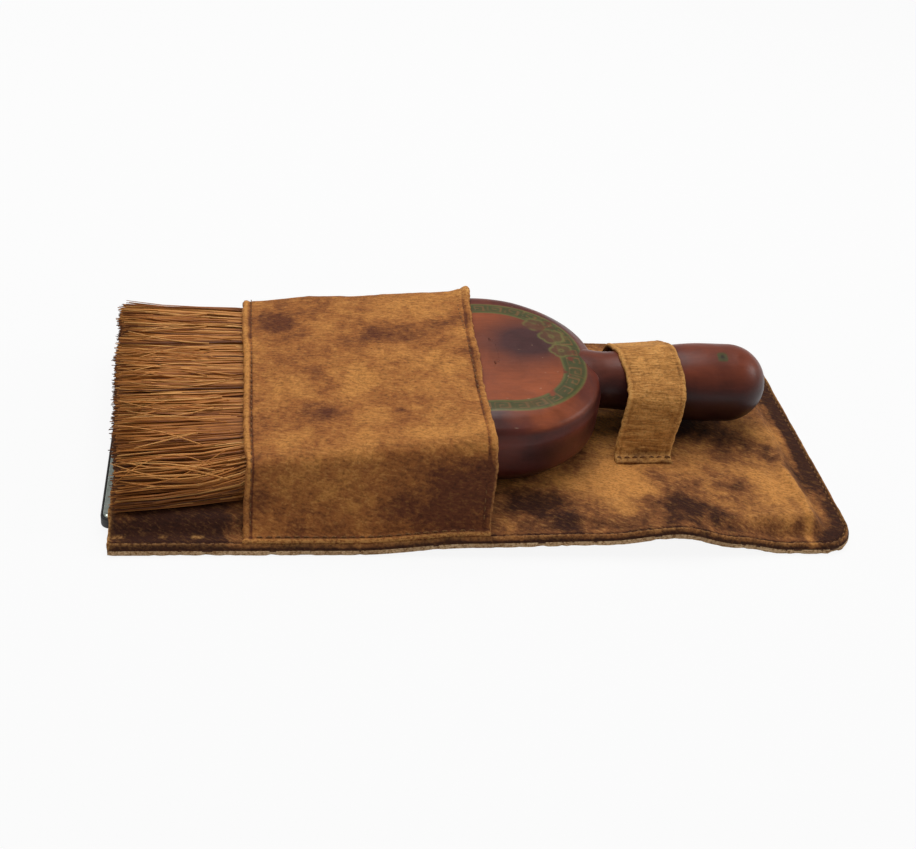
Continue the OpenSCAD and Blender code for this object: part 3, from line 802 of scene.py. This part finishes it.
def make_loop():
    x0, x1 = loop_low[0], loop_high[0]
    xs = np.linspace(x0, x1, 44)
    v = np.linspace(0, 1, 150)
    sway = np.interp(v, [0, 0.1, 0.24, 0.36, 0.5, 0.7, 1], [-1.4, -1.0, 1.6, 3.0, 1.0, 1.4, 0])
    sway = np.convolve(np.pad(sway, 12, mode="edge"), np.ones(25) / 25, "valid")
    middle, outward = [], []
    for x in xs:
        path = loop_section(x + 1.5)
        middle.append(np.column_stack([x + sway, path]))
        outward.append(np.column_stack([np.zeros(len(path)), normals_2d(path)]))
    middle, outward = np.array(middle), np.array(outward)
    end = np.minimum(xs - x0, x1 - xs)[:, None]
    feet = np.maximum(ramp(v, 0.10, 0.02), ramp(v, 0.90, 0.98))[None, :]
    low_half = ramp(middle[..., 1], 0, -14)
    wrinkle = (0.13 + 0.12 * low_half) * layers(middle * [0.2, 1, 1], 1.5, 141, 2) + 0.1 * layers(middle, 6, 145, 3)
    crumple = 0.5 * feet * layers(middle * [0.6, 1, 1], 3.0, 151, 3)
    hem = 0.1 * hill(end, 0.9, 0.8) - 0.12 * hill(end, 1.9, 0.4) - 0.4 * ramp(end, 0.6, 0)
    out = middle + outward * (0.62 + wrinkle + crumple + hem)[..., None]
    inn = middle - outward * (0.6 - 0.05 * wrinkle)[..., None]
    edge_wave = 0.35 * layers(middle * [0, 1, 1], 7, 155, 3) * ramp(end, 4, 0)
    edge_wave = edge_wave + 0.25 * layers(middle, 1.6, 157, 2) * ramp(end, 0.8, 0)
    out[..., 0] += edge_wave
    inn[..., 0] += edge_wave
    # Painted shade in the hem grooves and down the near lower half of the loop; it is darker too down the far side and
    # on the feet.
    shade = 0.35 - 0.5 * hill(end, 1.9, 0.4) - 1.0 * feet - 0.25 * low_half
    shade = shade - 0.5 * ramp(middle[..., 1], 12, 22)
    edge = np.clip(0.7 * hill(end, 0.3, 0.6) + 0.35 * feet, 0, 1) * (0.7 + 0.3 * noise(middle, 4, 161))
    points, faces = sheet_solid(out, inn)
    # The underside gets painted shade: it is darker than the top.
    tags = {"shade": np.concatenate([shade.ravel(), shade.ravel() - 0.8]),
        "edge": np.tile(edge.ravel(), 2)}
    make_piece("loop_leather", points, faces, LOOP_LEATHER, "case", ["handle_loop"], tags)
    for side, name, y in ((-1, "near", -20.3 - FOOT_L / 2), (1, "far", 27.4 + FOOT_L / 2)):
        xs = np.arange(x0 + 1.5, x1 - 1, 3.0)
        z = case_top(xs, np.full_like(xs, y)) + STRAP + 0.05
        along = np.tile([1.0, 0, 0], (len(xs), 1))
        up = np.tile([0, 0, 1.0], (len(xs), 1))
        places = np.column_stack([xs + (-1.2 if side < 0 else 0), np.full_like(xs, y), z])
        stitches("loop_stitches_" + name, places, along, up, "case", ["loop_thread_" + name], radius=0.28)


# ---------------------------------------------------------------- paint, painted shade and painted highlights on the lacquer

RED = np.array(rgb(116, 50, 34)[:3])
ORANGE = np.array(rgb(158, 78, 38)[:3])
PURPLE = np.array(rgb(76, 38, 36)[:3])
DEEP = np.array(rgb(60, 25, 23)[:3])
OLIVE = np.array(rgb(132, 92, 52)[:3])
GREEN = np.array(rgb(74, 76, 36)[:3])
GOLD = np.array(rgb(118, 114, 58)[:3])


def blend(a, b, share):
    return a + (b - a) * np.clip(share, 0, 1)[..., None]


def box_distance(x, y, x1, y0, y1, r):
    """Signed distance to a strip that runs to -X, from y0 to y1, with rounded ends at x1."""
    dx = x - (x1 - r)
    dy = np.abs(y - (y0 + y1) / 2) - ((y1 - y0) / 2 - r)
    outside = np.hypot(np.maximum(dx, 0), np.maximum(dy, 0))
    return outside + np.minimum(np.maximum(dx, dy), 0) - r


# Greek key in a square cell: the line's corners
KEY = [(0.0, 0.14), (0.0, 0.86), (0.78, 0.86), (0.78, 0.36), (0.32, 0.36), (0.32, 0.62), (0.54, 0.62)]


def key_line(s, b):
    """Distance, in cells, to the line of a running Greek key at s along and b across."""
    best = np.abs(b - 0.14)
    for shift in (-1, 0, 1):
        u = s - np.floor(s) + shift
        for (ax, ay), (bx, by) in zip(KEY, KEY[1:]):
            length = (bx - ax) ** 2 + (by - ay) ** 2
            t = np.clip(((u - ax) * (bx - ax) + (b - ay) * (by - ay)) / length, 0, 1)
            best = np.minimum(best, np.hypot(u - ax - t * (bx - ax), b - ay - t * (by - ay)))
    return best


def head_paint_and_shading(points, inset, top):
    """Colours of the head: a worn green key border round an orange-brown field, with a painted shadow on the field and
    painted highlights on the near slope and along the sides.
    """
    x, y = points[..., 0], points[..., 1]
    wear = layers(points, 7, 201, 4)
    wide = layers(points, 24, 211, 3)
    shadow = np.exp(-(((x - 18) / 16) ** 2 + ((y - 10) / 15) ** 2))
    field = blend(ORANGE + 0 * points, PURPLE, 1.3 * shadow + 0.3 * wide)
    slope = blend(RED + 0 * points, DEEP, 0.4 + 0.5 * wide)
    # Painted highlight: a lighter orange patch on the near slope towards the handle.
    slope = blend(slope, ORANGE, 0.9 * hill(x, 18, 15) * hill(y, -30, 9) + 0.25 * wear)
    outer = box_distance(x, y, 37.5, -32.5, 36, 32)
    inner = box_distance(x, y, 28.0, -26.5, 29.5, 22)
    colour = blend(slope, field, ramp(inner, 0.3, -0.3))
    b = np.clip(inner / np.maximum(inner - outer, 0.01), 0, 1)
    middle_y, r_mid, half, x_mid = 1.6, 26.5, 31.2, 32.2
    cx, cy = x_mid - r_mid, half - r_mid
    off_y = np.abs(y - middle_y)
    angle = np.arctan2(np.maximum(x - cx, 0), np.maximum(off_y - cy, 1e-3))
    s = np.where(x < cx, cy + math.pi / 2 * r_mid + (cx - x), cy + (math.pi / 2 - angle) * r_mid)
    s = np.where((off_y < cy) & (x >= cx), off_y, s)
    ribbon = ramp(outer, 0.35, -0.35) * ramp(inner, -0.35, 0.35)
    lines = ramp(key_line(s / 6.6, b), 0.13, 0.07)
    green = blend(OLIVE + 0 * points, GREEN, 0.12 + 0.85 * lines * (1 + 0.3 * wear))
    rims = np.maximum(hill(outer, -0.5, 0.5), hill(inner, 0.5, 0.45))
    green = blend(green, GOLD, 0.55 * rims)
    colour = blend(colour, green, ribbon * ramp(wear, 0.75, 0.35))
    for bx, by, size in ((27.5, 14.5, 3.9), (29.5, 5.2, 3.5), (22.5, 22.5, 3.3)):
        angle = np.arctan2(y - by, x - bx)
        ring = np.hypot(x - bx, y - by) - size * (1 + 0.22 * np.abs(np.sin(2.5 * angle)))
        heart = np.hypot(x - bx, y - by) - 0.22 * size
        inside = ramp(ring, 0.2, -0.4)
        colour = blend(colour, blend(OLIVE + 0 * points, DEEP, 0.55 + 0 * wear), 0.75 * inside)
        mark = np.maximum(hill(ring, 0, 0.5), 0.8 * hill(heart, 0, 0.4))
        colour = blend(colour, GOLD, 0.8 * mark * ramp(wear, 0.9, 0.1))
    chips = ramp(layers(points, 1.6, 221, 2), 1.12, 1.25)
    colour = blend(colour, np.array(rgb(196, 160, 130)[:3]), 0.5 * chips)
    side = blend(DEEP + 0 * points, RED, 0.35 + 0.6 * wide)
    # Painted highlight in a band along the sides, at the height of the ridge.
    side = blend(side, side * 1.5, hill(points[..., 2], 28, 2.0))
    return blend(side, colour, top)


# ---------------------------------------------------------------- the brush

FULL_T = head_high[2] - BASE_Z          # thickness of the head at the handle
OPEN_T = 24.0                           # and at its open end
THIN_L = 36.0
SOCKET_W, SOCKET_T, SOCKET_WALL = 78.0, 13.0, 5.5


def make_head():
    side_n, arc_n = 84, 66
    end = head_high[0] + 3.0                # the lacquer swells out round the neck
    reach = (end - head_low[0]) / 2 - 0.02
    half_w = (head_high[1] - head_low[1]) / 2
    profile = rounded_path(
        [(reach, FULL_T - 0.1), (7.6, FULL_T - 0.6), (1.2, 24.6), (0, 20), (0, 7.5), (6.5, 0), (reach, 0)],
        [0, 10, 4, 6, 5.5, 5, 0], 400)
    top_part = profile[:, 1] > 12
    keep = top_part | (np.arange(len(profile)) % 4 == 0)
    keep[-1] = True
    profile = profile[keep]
    rings, insets, top = [], [], []
    for inset, z in profile:
        ring = plan_ring(head_low[0], end, half_w, BRUSH_Y, 12, 40, inset, side_n, arc_n)
        thin = OPEN_T / FULL_T + (1 - OPEN_T / FULL_T) * ramp(ring[:, 0], head_low[0], head_low[0] + THIN_L)
        rings.append(np.column_stack([ring, BASE_Z + z * thin]))
        insets.append(np.full(len(ring), inset))
        top.append(np.full(len(ring), float(z > 20)))
    points, insets, top = np.array(rings), np.array(insets), np.array(top)
    points[..., 2] += 0.12 * layers(points, 16, 231, 2) - 0.12
    socket_mid = BASE_Z + SOCKET_WALL + SOCKET_T / 2
    hole = (points[..., 0] < head_low[0] + 2) & (np.abs(points[..., 1] - BRUSH_Y) < SOCKET_W / 2)
    hole &= np.abs(points[..., 2] - socket_mid) < SOCKET_T / 2
    paint_and_shading = head_paint_and_shading(points, insets, ramp(insets, 0.6, 1.8) * top)
    # Painted shade: the floor of the socket mouth is near black.
    paint_and_shading[hole] = DEEP * 0.25
    points[..., 0] = np.where(hole, head_low[0] + 6, points[..., 0])
    rows, columns = points.shape[:2]
    faces = [grid_faces(rows, columns, wrap=True)]
    make_piece("head_lacquered", points, faces, LACQUER, "brush", ["brush_head"],
        {"paint_and_shading": paint_and_shading.reshape(-1, 3)}, merge=0.04)


def make_handle():
    """The handle, its neck flared where it leaves the head, with a small mark on the bulb."""
    x = np.concatenate([np.linspace(head_high[0] - TENON, head_high[0] + 8, 44),
        np.linspace(head_high[0] + 8.5, handle_high[0] - 4, 90),
        handle_high[0] - 4 * np.cos(np.linspace(0, math.pi / 2, 26)) ** 2])
    x = np.unique(np.round(x, 4))
    r = handle_radius(x)
    flare = 1.2 * ramp(x, head_high[0] + 5.5, head_high[0] - 3) * ramp(x, head_high[0] - 12, head_high[0] - 4)
    a = np.linspace(0, 2 * math.pi, 129)[:-1]
    across, up = np.sin(a)[None, :], np.cos(a)[None, :]
    ry = (r + 1.9 * flare)[:, None]
    rz = (r + 0.25 * flare)[:, None]
    points = np.stack([np.broadcast_to(x[:, None], (len(x), len(a))), BRUSH_Y + ry * across, AXIS_Z + rz * up], -1)
    points[..., 1:] += (0.10 * layers(points, 14, 241, 2) * ramp(r, 1, 6)[:, None])[..., None] * np.stack(
        [across + 0 * ry, up + 0 * rz], -1)
    wide = layers(points, 16, 251, 3)
    colour = blend(blend(RED + 0 * points, ORANGE, 0.3 + 0 * wide), DEEP, 0.25 + 0.5 * wide)
    # Painted shade: the handle darkens towards its underside.
    colour = blend(colour, DEEP, ramp(points[..., 2], AXIS_Z + 12, AXIS_Z + 2))
    colour = blend(colour, DEEP * 0.5, ramp(points[..., 2], AXIS_Z + 2, AXIS_Z - 8))
    dx, dy = np.abs(points[..., 0] - 88.5), np.abs(points[..., 1] + 0.5)
    square = (dx ** 3 + dy ** 3) ** (1 / 3)
    above = points[..., 2] > AXIS_Z
    colour = blend(colour, GREEN, 0.9 * ramp(square, 2.3, 1.8) * above)
    colour = blend(colour, DEEP * 0.4, 0.8 * ramp(np.hypot(dx, dy), 1.1, 0.6) * above)
    make_piece("handle_lacquered", points, [grid_faces(len(x), len(a), wrap=True),
        np.arange(len(a))[None, ::-1]], LACQUER, "brush", ["handle"],
        {"paint_and_shading": colour.reshape(-1, 3)}, merge=0.01)


ROOT_X = head_low[0] + 12               # the fibres start inside the socket
SPREAD_X = head_low[0] - 44
TIP_X = fibre_low[0]
ROOT_W, ROOT_T = 73.0, 9.6
SPREAD_W, SPREAD_MID = 94.5, BRUSH_Y - 2.2
TIP_W, TIP_MID = 103.5, BRUSH_Y - 4.5
FIBRE_T = 15.6


def near_crown(u, fan):
    """Share of the bundle's thickness at u: it falls away towards its near side past the twine."""
    return 1 - 0.7 * (np.clip(0.26 - u, 0, 1) / 0.26) ** 2 * ramp(fan, 0.0, 0.25)


def fibre_paths(rng, u, w, steps, wild):
    """Routes of fibres at shares u across and w up the bundle; wild sets how far they stray."""
    count = len(u)
    t = np.linspace(0, 1, steps)[None, :]
    drift = rng.normal(0, 1, (count, 1)) * wild * 3.2
    lift = rng.normal(0, 1, (count, 1)) * wild * 0.6
    ragged = rng.normal(0, 0.8, (count, 1)) + noise(flat(u * 14, 5 * w), 1, 305)[:, None]
    tip = TIP_X + 5.5 * (1 - u[:, None]) ** 1.4 + ragged - 1.4 * (1 - w[:, None])
    tip = np.maximum(tip, TIP_X - 2.2)
    x = ROOT_X + (tip - ROOT_X) * t
    near_root = np.clip((ROOT_X - x) / (ROOT_X - head_low[0]), 0, 1)
    spread = np.clip((head_low[0] - x) / (head_low[0] - SPREAD_X), 0, 1) ** 0.9
    fan = np.clip((SPREAD_X - x) / (SPREAD_X - TIP_X), 0, 1)
    width = ROOT_W + (SPREAD_W - ROOT_W) * spread + (TIP_W - SPREAD_W) * fan
    middle = BRUSH_Y + (SPREAD_MID - BRUSH_Y) * spread + (TIP_MID - SPREAD_MID) * fan
    bow = rng.normal(0, 1, (count, 1)) * wild * 0.9 * np.sin(math.pi * fan)
    y = middle + (u[:, None] - 0.5) * width + drift * fan ** 1.3 * near_root + bow
    y = np.clip(y, middle - width / 2 - 0.6, middle + width / 2 + 0.6)
    root_z = BASE_Z + SOCKET_WALL + (SOCKET_T - ROOT_T) / 2
    low = root_z + (BASE_Z + 0.2 - root_z) * spread
    full = BASE_Z + 0.2 + FIBRE_T * near_crown(u[:, None], fan)
    high = root_z + ROOT_T + (full - root_z - ROOT_T) * spread
    z = low + (high - low) * w[:, None] + lift * fan
    z = z + 0.25 * np.sin(7 * t + rng.uniform(0, 6.3, (count, 1))) * fan
    gather = np.stack([x / 22, y / 2.3, z / 6], -1)
    loose = ramp(fan, 0, 0.25)
    y = y + 1.0 * noise(gather, 1, 301) * loose
    z = z + 0.7 * noise(gather, 1, 303) * loose
    return np.stack([x, y, np.clip(z, BASE_Z + 0.25, BASE_Z + FIBRE_T + 0.7)], -1)


def make_bristles():
    rng = np.random.default_rng(7)
    steps = 9
    taper = np.concatenate([np.ones(steps - 3), [0.95, 0.85, 0.55]])
    for name, f0, f1, count in (("lower", 0, 1 / 3, 1500), ("middle", 1 / 3, 2 / 3, 1300), ("upper", 2 / 3, 1, 1900)):
        u = rng.uniform(0, 1, count)
        w = f0 + (f1 - f0) * rng.uniform(0, 1, count)
        if name == "upper":
            w = np.where(rng.uniform(0, 1, count) < 0.3, rng.uniform(0.9, 1.0, count), w)
        paths = fibre_paths(rng, u, w, steps, 0.55)
        radius = rng.uniform(0.22, 0.42, count)
        points, faces = tubes(paths, radius, 3, taper)
        # Painted shade: fibres deep in the bundle, below its top and behind its near side, are darker.
        deep = np.minimum((1 - w) * FIBRE_T, (u + 0.004) * TIP_W)
        tone_and_shade = np.clip(rng.normal(0.5, 0.24, count) - 0.55 * ramp(deep, 0.4, 2.4), 0.02, 1)
        tags = {"tone_and_shade": np.repeat(tone_and_shade, steps * 3)}
        make_piece("bristles_" + name + "_fibres", points, faces, FIBRE, "brush", ["bristles_" + name], tags)
    make_strays(rng)


def make_strays(rng):
    """Loose fibres lying across the top and the near side of the bundle."""
    count, steps = 46, 15
    u = np.concatenate([rng.uniform(0, 1, 38), rng.uniform(0, 0.1, 8)])
    t = np.linspace(0, 1, steps)[None, :]
    start = rng.uniform(-100, -86, (count, 1))
    stop = TIP_X + 2 + rng.uniform(0, 8, (count, 1))
    x = start + (stop - start) * t
    slant = rng.normal(0, 5.0, (count, 1))
    bend = rng.normal(0, 2.2, (count, 1))
    y = TIP_MID + (u[:, None] - 0.5) * SPREAD_W + slant * (t - 0.5) + bend * np.sin(math.pi * t)
    y = np.clip(y, TIP_MID - TIP_W / 2 - 1.5, TIP_MID + TIP_W / 2)
    over = np.clip(TIP_MID - TIP_W / 2 + 2.5 - y, 0, 4)
    share = np.clip((y - TIP_MID) / TIP_W + 0.5, 0, 1)
    crown = near_crown(share, (SPREAD_X - x) / (SPREAD_X - TIP_X))
    z = BASE_Z + FIBRE_T * crown + 0.75 + 0.5 * np.sin(math.pi * t) - 0.4 * over ** 1.5
    paths = np.stack([x, y, z], -1)
    points, faces = tubes(paths, rng.uniform(0.14, 0.3, count), 4, 1 - 0.5 * np.linspace(0, 1, steps) ** 3)
    tags = {"tone_and_shade": np.repeat(rng.uniform(0.5, 1.0, count), steps * 4)}
    make_piece("stray_fibres", points, faces, FIBRE, "brush", [], tags)


def make_twine():
    """Two rows of twine, each of two turns, sewn round the fibres under the band."""
    low, high = box("skirt_twine")
    paths = []
    for x, grow in ((low[0] + 0.5, 1.0), (low[0] + 1.5, 1.0), (high[0] - 1.5, 0.55), (high[0] - 0.5, 0.55)):
        share = (head_low[0] - x) / (head_low[0] - SPREAD_X)
        half = (ROOT_W + (SPREAD_W - ROOT_W) * share) / 2 + 0.9
        mid = BRUSH_Y + (SPREAD_MID - BRUSH_Y) * share
        root_z = BASE_Z + SOCKET_WALL + (SOCKET_T - ROOT_T) / 2
        z0 = root_z + (BASE_Z - root_z) * share + 0.3
        z1 = root_z + ROOT_T + (BASE_Z + FIBRE_T - root_z - ROOT_T) * share + 0.6
        ring = plan_ring(mid - half, mid + half, (z1 - z0) / 2, (z0 + z1) / 2, 3, 3, 0, 30, 8)
        paths.append(np.column_stack([np.full(len(ring), x), ring]))
    points, faces = closed_rings(np.array(paths), 0.5)
    make_piece("skirt_twine_turns", points, faces, TWINE, "brush", ["skirt_twine"])


def closed_rings(paths, radius, sides=8):
    """Round rings along closed paths that each lie in a plane across X."""
    along = np.roll(paths, -1, axis=1) - np.roll(paths, 1, axis=1)
    along /= np.linalg.norm(along, axis=-1, keepdims=True)
    axis = np.array([1.0, 0, 0])
    out = np.cross(along, axis)
    rings = [
        paths + radius * (math.cos(a) * axis + math.sin(a) * out)
        for a in (2 * math.pi * k / sides for k in range(sides))
    ]
    points = np.stack(rings, 2)
    points = np.concatenate([points, points[:, :1]], 1)
    one = grid_faces(points.shape[1], sides, wrap=True)
    start = (np.arange(len(paths)) * points.shape[1] * sides)[:, None, None]
    return points.reshape(-1, 3), [(one[None] + start).reshape(-1, 4)]


# ---------------------------------------------------------------- the mirror

def slab(name, low, high, r, bevel, material, nodes):
    """Flat plate with rounded corners and bevelled rims."""
    x0, x1, half = low[0], high[0], high[1]
    z0, z1 = low[2], high[2]
    steps = [(16.0, z1), (4.0, z1), (bevel, z1), (0.25 * bevel, z1 - 0.3 * bevel), (0, z1 - bevel),
        (0, z0 + bevel), (bevel, z0), (4.0, z0), (16.0, z0)]
    rings = [np.column_stack([plan_ring(x0, x1, half, 0, r, r, i, 60, 10), np.full(280, z)]) for i, z in steps]
    points = np.array(rings)
    cap = np.arange(280)
    faces = [grid_faces(len(steps), 280, wrap=True), np.stack([cap, (cap + (len(steps) - 1) * 280)[::-1]])]
    make_piece(name, points, faces, material, "mirror", nodes)


def make_mirror():
    slab("mirror_plate", glass_low, glass_high, 2.4, 0.5, MIRROR, ["mirror_glass"])
    slab("mirror_backing", board_low, board_high, 2.4, 0.2, BOARD, ["mirror_board"])
    low, high = edging_low, edging_high
    section = rounded_path([(0.35, low[2]), (0, low[2]), (0, high[2]), (0.68, high[2]), (0.68, low[2]), (0.35, low[2])],
        [0, 0.3, 0.45, 0.2, 0.1, 0], 25)[:-1]
    rings = []
    for inset, z in section:
        ring = plan_ring(low[0], high[0], high[1], 0, 3, 3, inset, 60, 14)
        wobble = 0.04 * layers(np.column_stack([ring, np.full(len(ring), z)]), 3, 261, 3)
        rings.append(np.column_stack([ring, z + wobble]))
    points = np.array(rings + rings[:1])
    make_piece("mirror_edge_strip", points, [grid_faces(len(points), points.shape[1], wrap=True)], EDGING,
        "mirror", ["mirror_edging"], merge=0.001)


# ---------------------------------------------------------------- CAD nodes that stay

def dress(node, material):
    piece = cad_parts[node]
    piece.data.materials.clear()
    piece.data.materials.append(material)


# ---------------------------------------------------------------- stage

def make_floor():
    """White floor that shows white to the camera and keeps a soft shadow of the object."""
    mesh = bpy.data.meshes.new("floor")
    size = 3.0
    mesh.from_pydata([(-size, -size, 0), (size, -size, 0), (size, size, 0), (-size, size, 0)], [], [(0, 1, 2, 3)])
    floor = bpy.data.objects.new("floor", mesh)
    floor.location.z = -0.0002
    bpy.context.scene.collection.objects.link(floor)
    s = Shader("white_floor", Roughness=0.9, Specular_IOR_Level=0.0)
    s.surface.inputs["Base Color"].default_value = (0.72, 0.72, 0.72, 1)
    glow = s.tree.nodes.new("ShaderNodeEmission")
    glow.inputs["Strength"].default_value = 1.0
    path = s.tree.nodes.new("ShaderNodeLightPath")
    seen = s.math("MAXIMUM", path.outputs["Is Camera Ray"], path.outputs["Is Glossy Ray"])
    seen = s.math("MAXIMUM", seen, path.outputs["Is Transmission Ray"])
    both = s.tree.nodes.new("ShaderNodeMixShader")
    s.set(both.inputs[0], s.math("MULTIPLY", seen, 0.9))
    s.set(both.inputs[1], s.surface.outputs[0])
    s.set(both.inputs[2], glow.outputs[0])
    s.set(s.output.inputs["Surface"], both.outputs[0])
    mesh.materials.append(s.material)


def make_world():
    world = bpy.data.worlds.new("studio")
    bpy.context.scene.world = world
    world.use_nodes = True
    tree = world.node_tree
    background = tree.nodes["Background"]
    path = tree.nodes.new("ShaderNodeLightPath")
    most = tree.nodes.new("ShaderNodeMath")
    most.operation = "MAXIMUM"
    tree.links.new(path.outputs["Is Camera Ray"], most.inputs[0])
    tree.links.new(path.outputs["Is Transmission Ray"], most.inputs[1])
    level = tree.nodes.new("ShaderNodeMapRange")
    level.inputs["To Min"].default_value = 0.32
    level.inputs["To Max"].default_value = 1.0
    tree.links.new(most.outputs[0], level.inputs["Value"])
    tree.links.new(level.outputs[0], background.inputs["Strength"])
    background.inputs["Color"].default_value = (1, 1, 1, 1)


def make_lamp(name, place, size, power):
    """Square soft lamp that faces the middle of the object."""
    data = bpy.data.lights.new(name, "AREA")
    data.size = size
    data.energy = power
    lamp = bpy.data.objects.new(name, data)
    lamp.location = place
    bpy.context.scene.collection.objects.link(lamp)
    lamp.rotation_euler = (-lamp.location).to_track_quat("-Z", "Y").to_euler()


def make_camera():
    """Camera at the viewing angle of the reference, given by its place and three turns."""
    place = np.array([-85.45, -380.11, 284.48]) * MM
    yaw, pitch, roll = (math.radians(a) for a in (11.854, 35.558, -7.769))
    forward = np.array([math.sin(yaw) * math.cos(pitch), math.cos(yaw) * math.cos(pitch), -math.sin(pitch)])
    level = np.array([math.cos(yaw), -math.sin(yaw), 0])
    above = np.cross(level, forward)
    right = math.cos(roll) * level - math.sin(roll) * above
    up = math.sin(roll) * level + math.cos(roll) * above
    data = bpy.data.cameras.new("camera")
    data.lens = 51.09
    data.sensor_width = 36
    camera = bpy.data.objects.new("camera", data)
    camera.matrix_world = Matrix([
        (right[i], up[i], -forward[i], place[i]) for i in range(3)
    ] + [(0, 0, 0, 1)])
    bpy.context.scene.collection.objects.link(camera)
    bpy.context.scene.camera = camera


make_camera()
make_world()
make_floor()
make_lamp("overhead", (-0.05, 0.30, 0.95), 0.8, 7.4)
make_lamp("left_fill", (-0.9, -0.2, 0.6), 0.6, 0.4)
make_lamp("right_window", (0.95, 0.05, 0.5), 0.3, 1.9)
make_case()
make_hem_stitches()
make_band()
make_band_stitches()
make_loop()
make_mirror()
make_head()
make_handle()
make_bristles()
make_twine()
dress("root_binding", TWINE)
dress("pitch_plug", PITCH)
dress("head_brads", BRAD)

bpy.context.scene.view_settings.view_transform = "Standard"
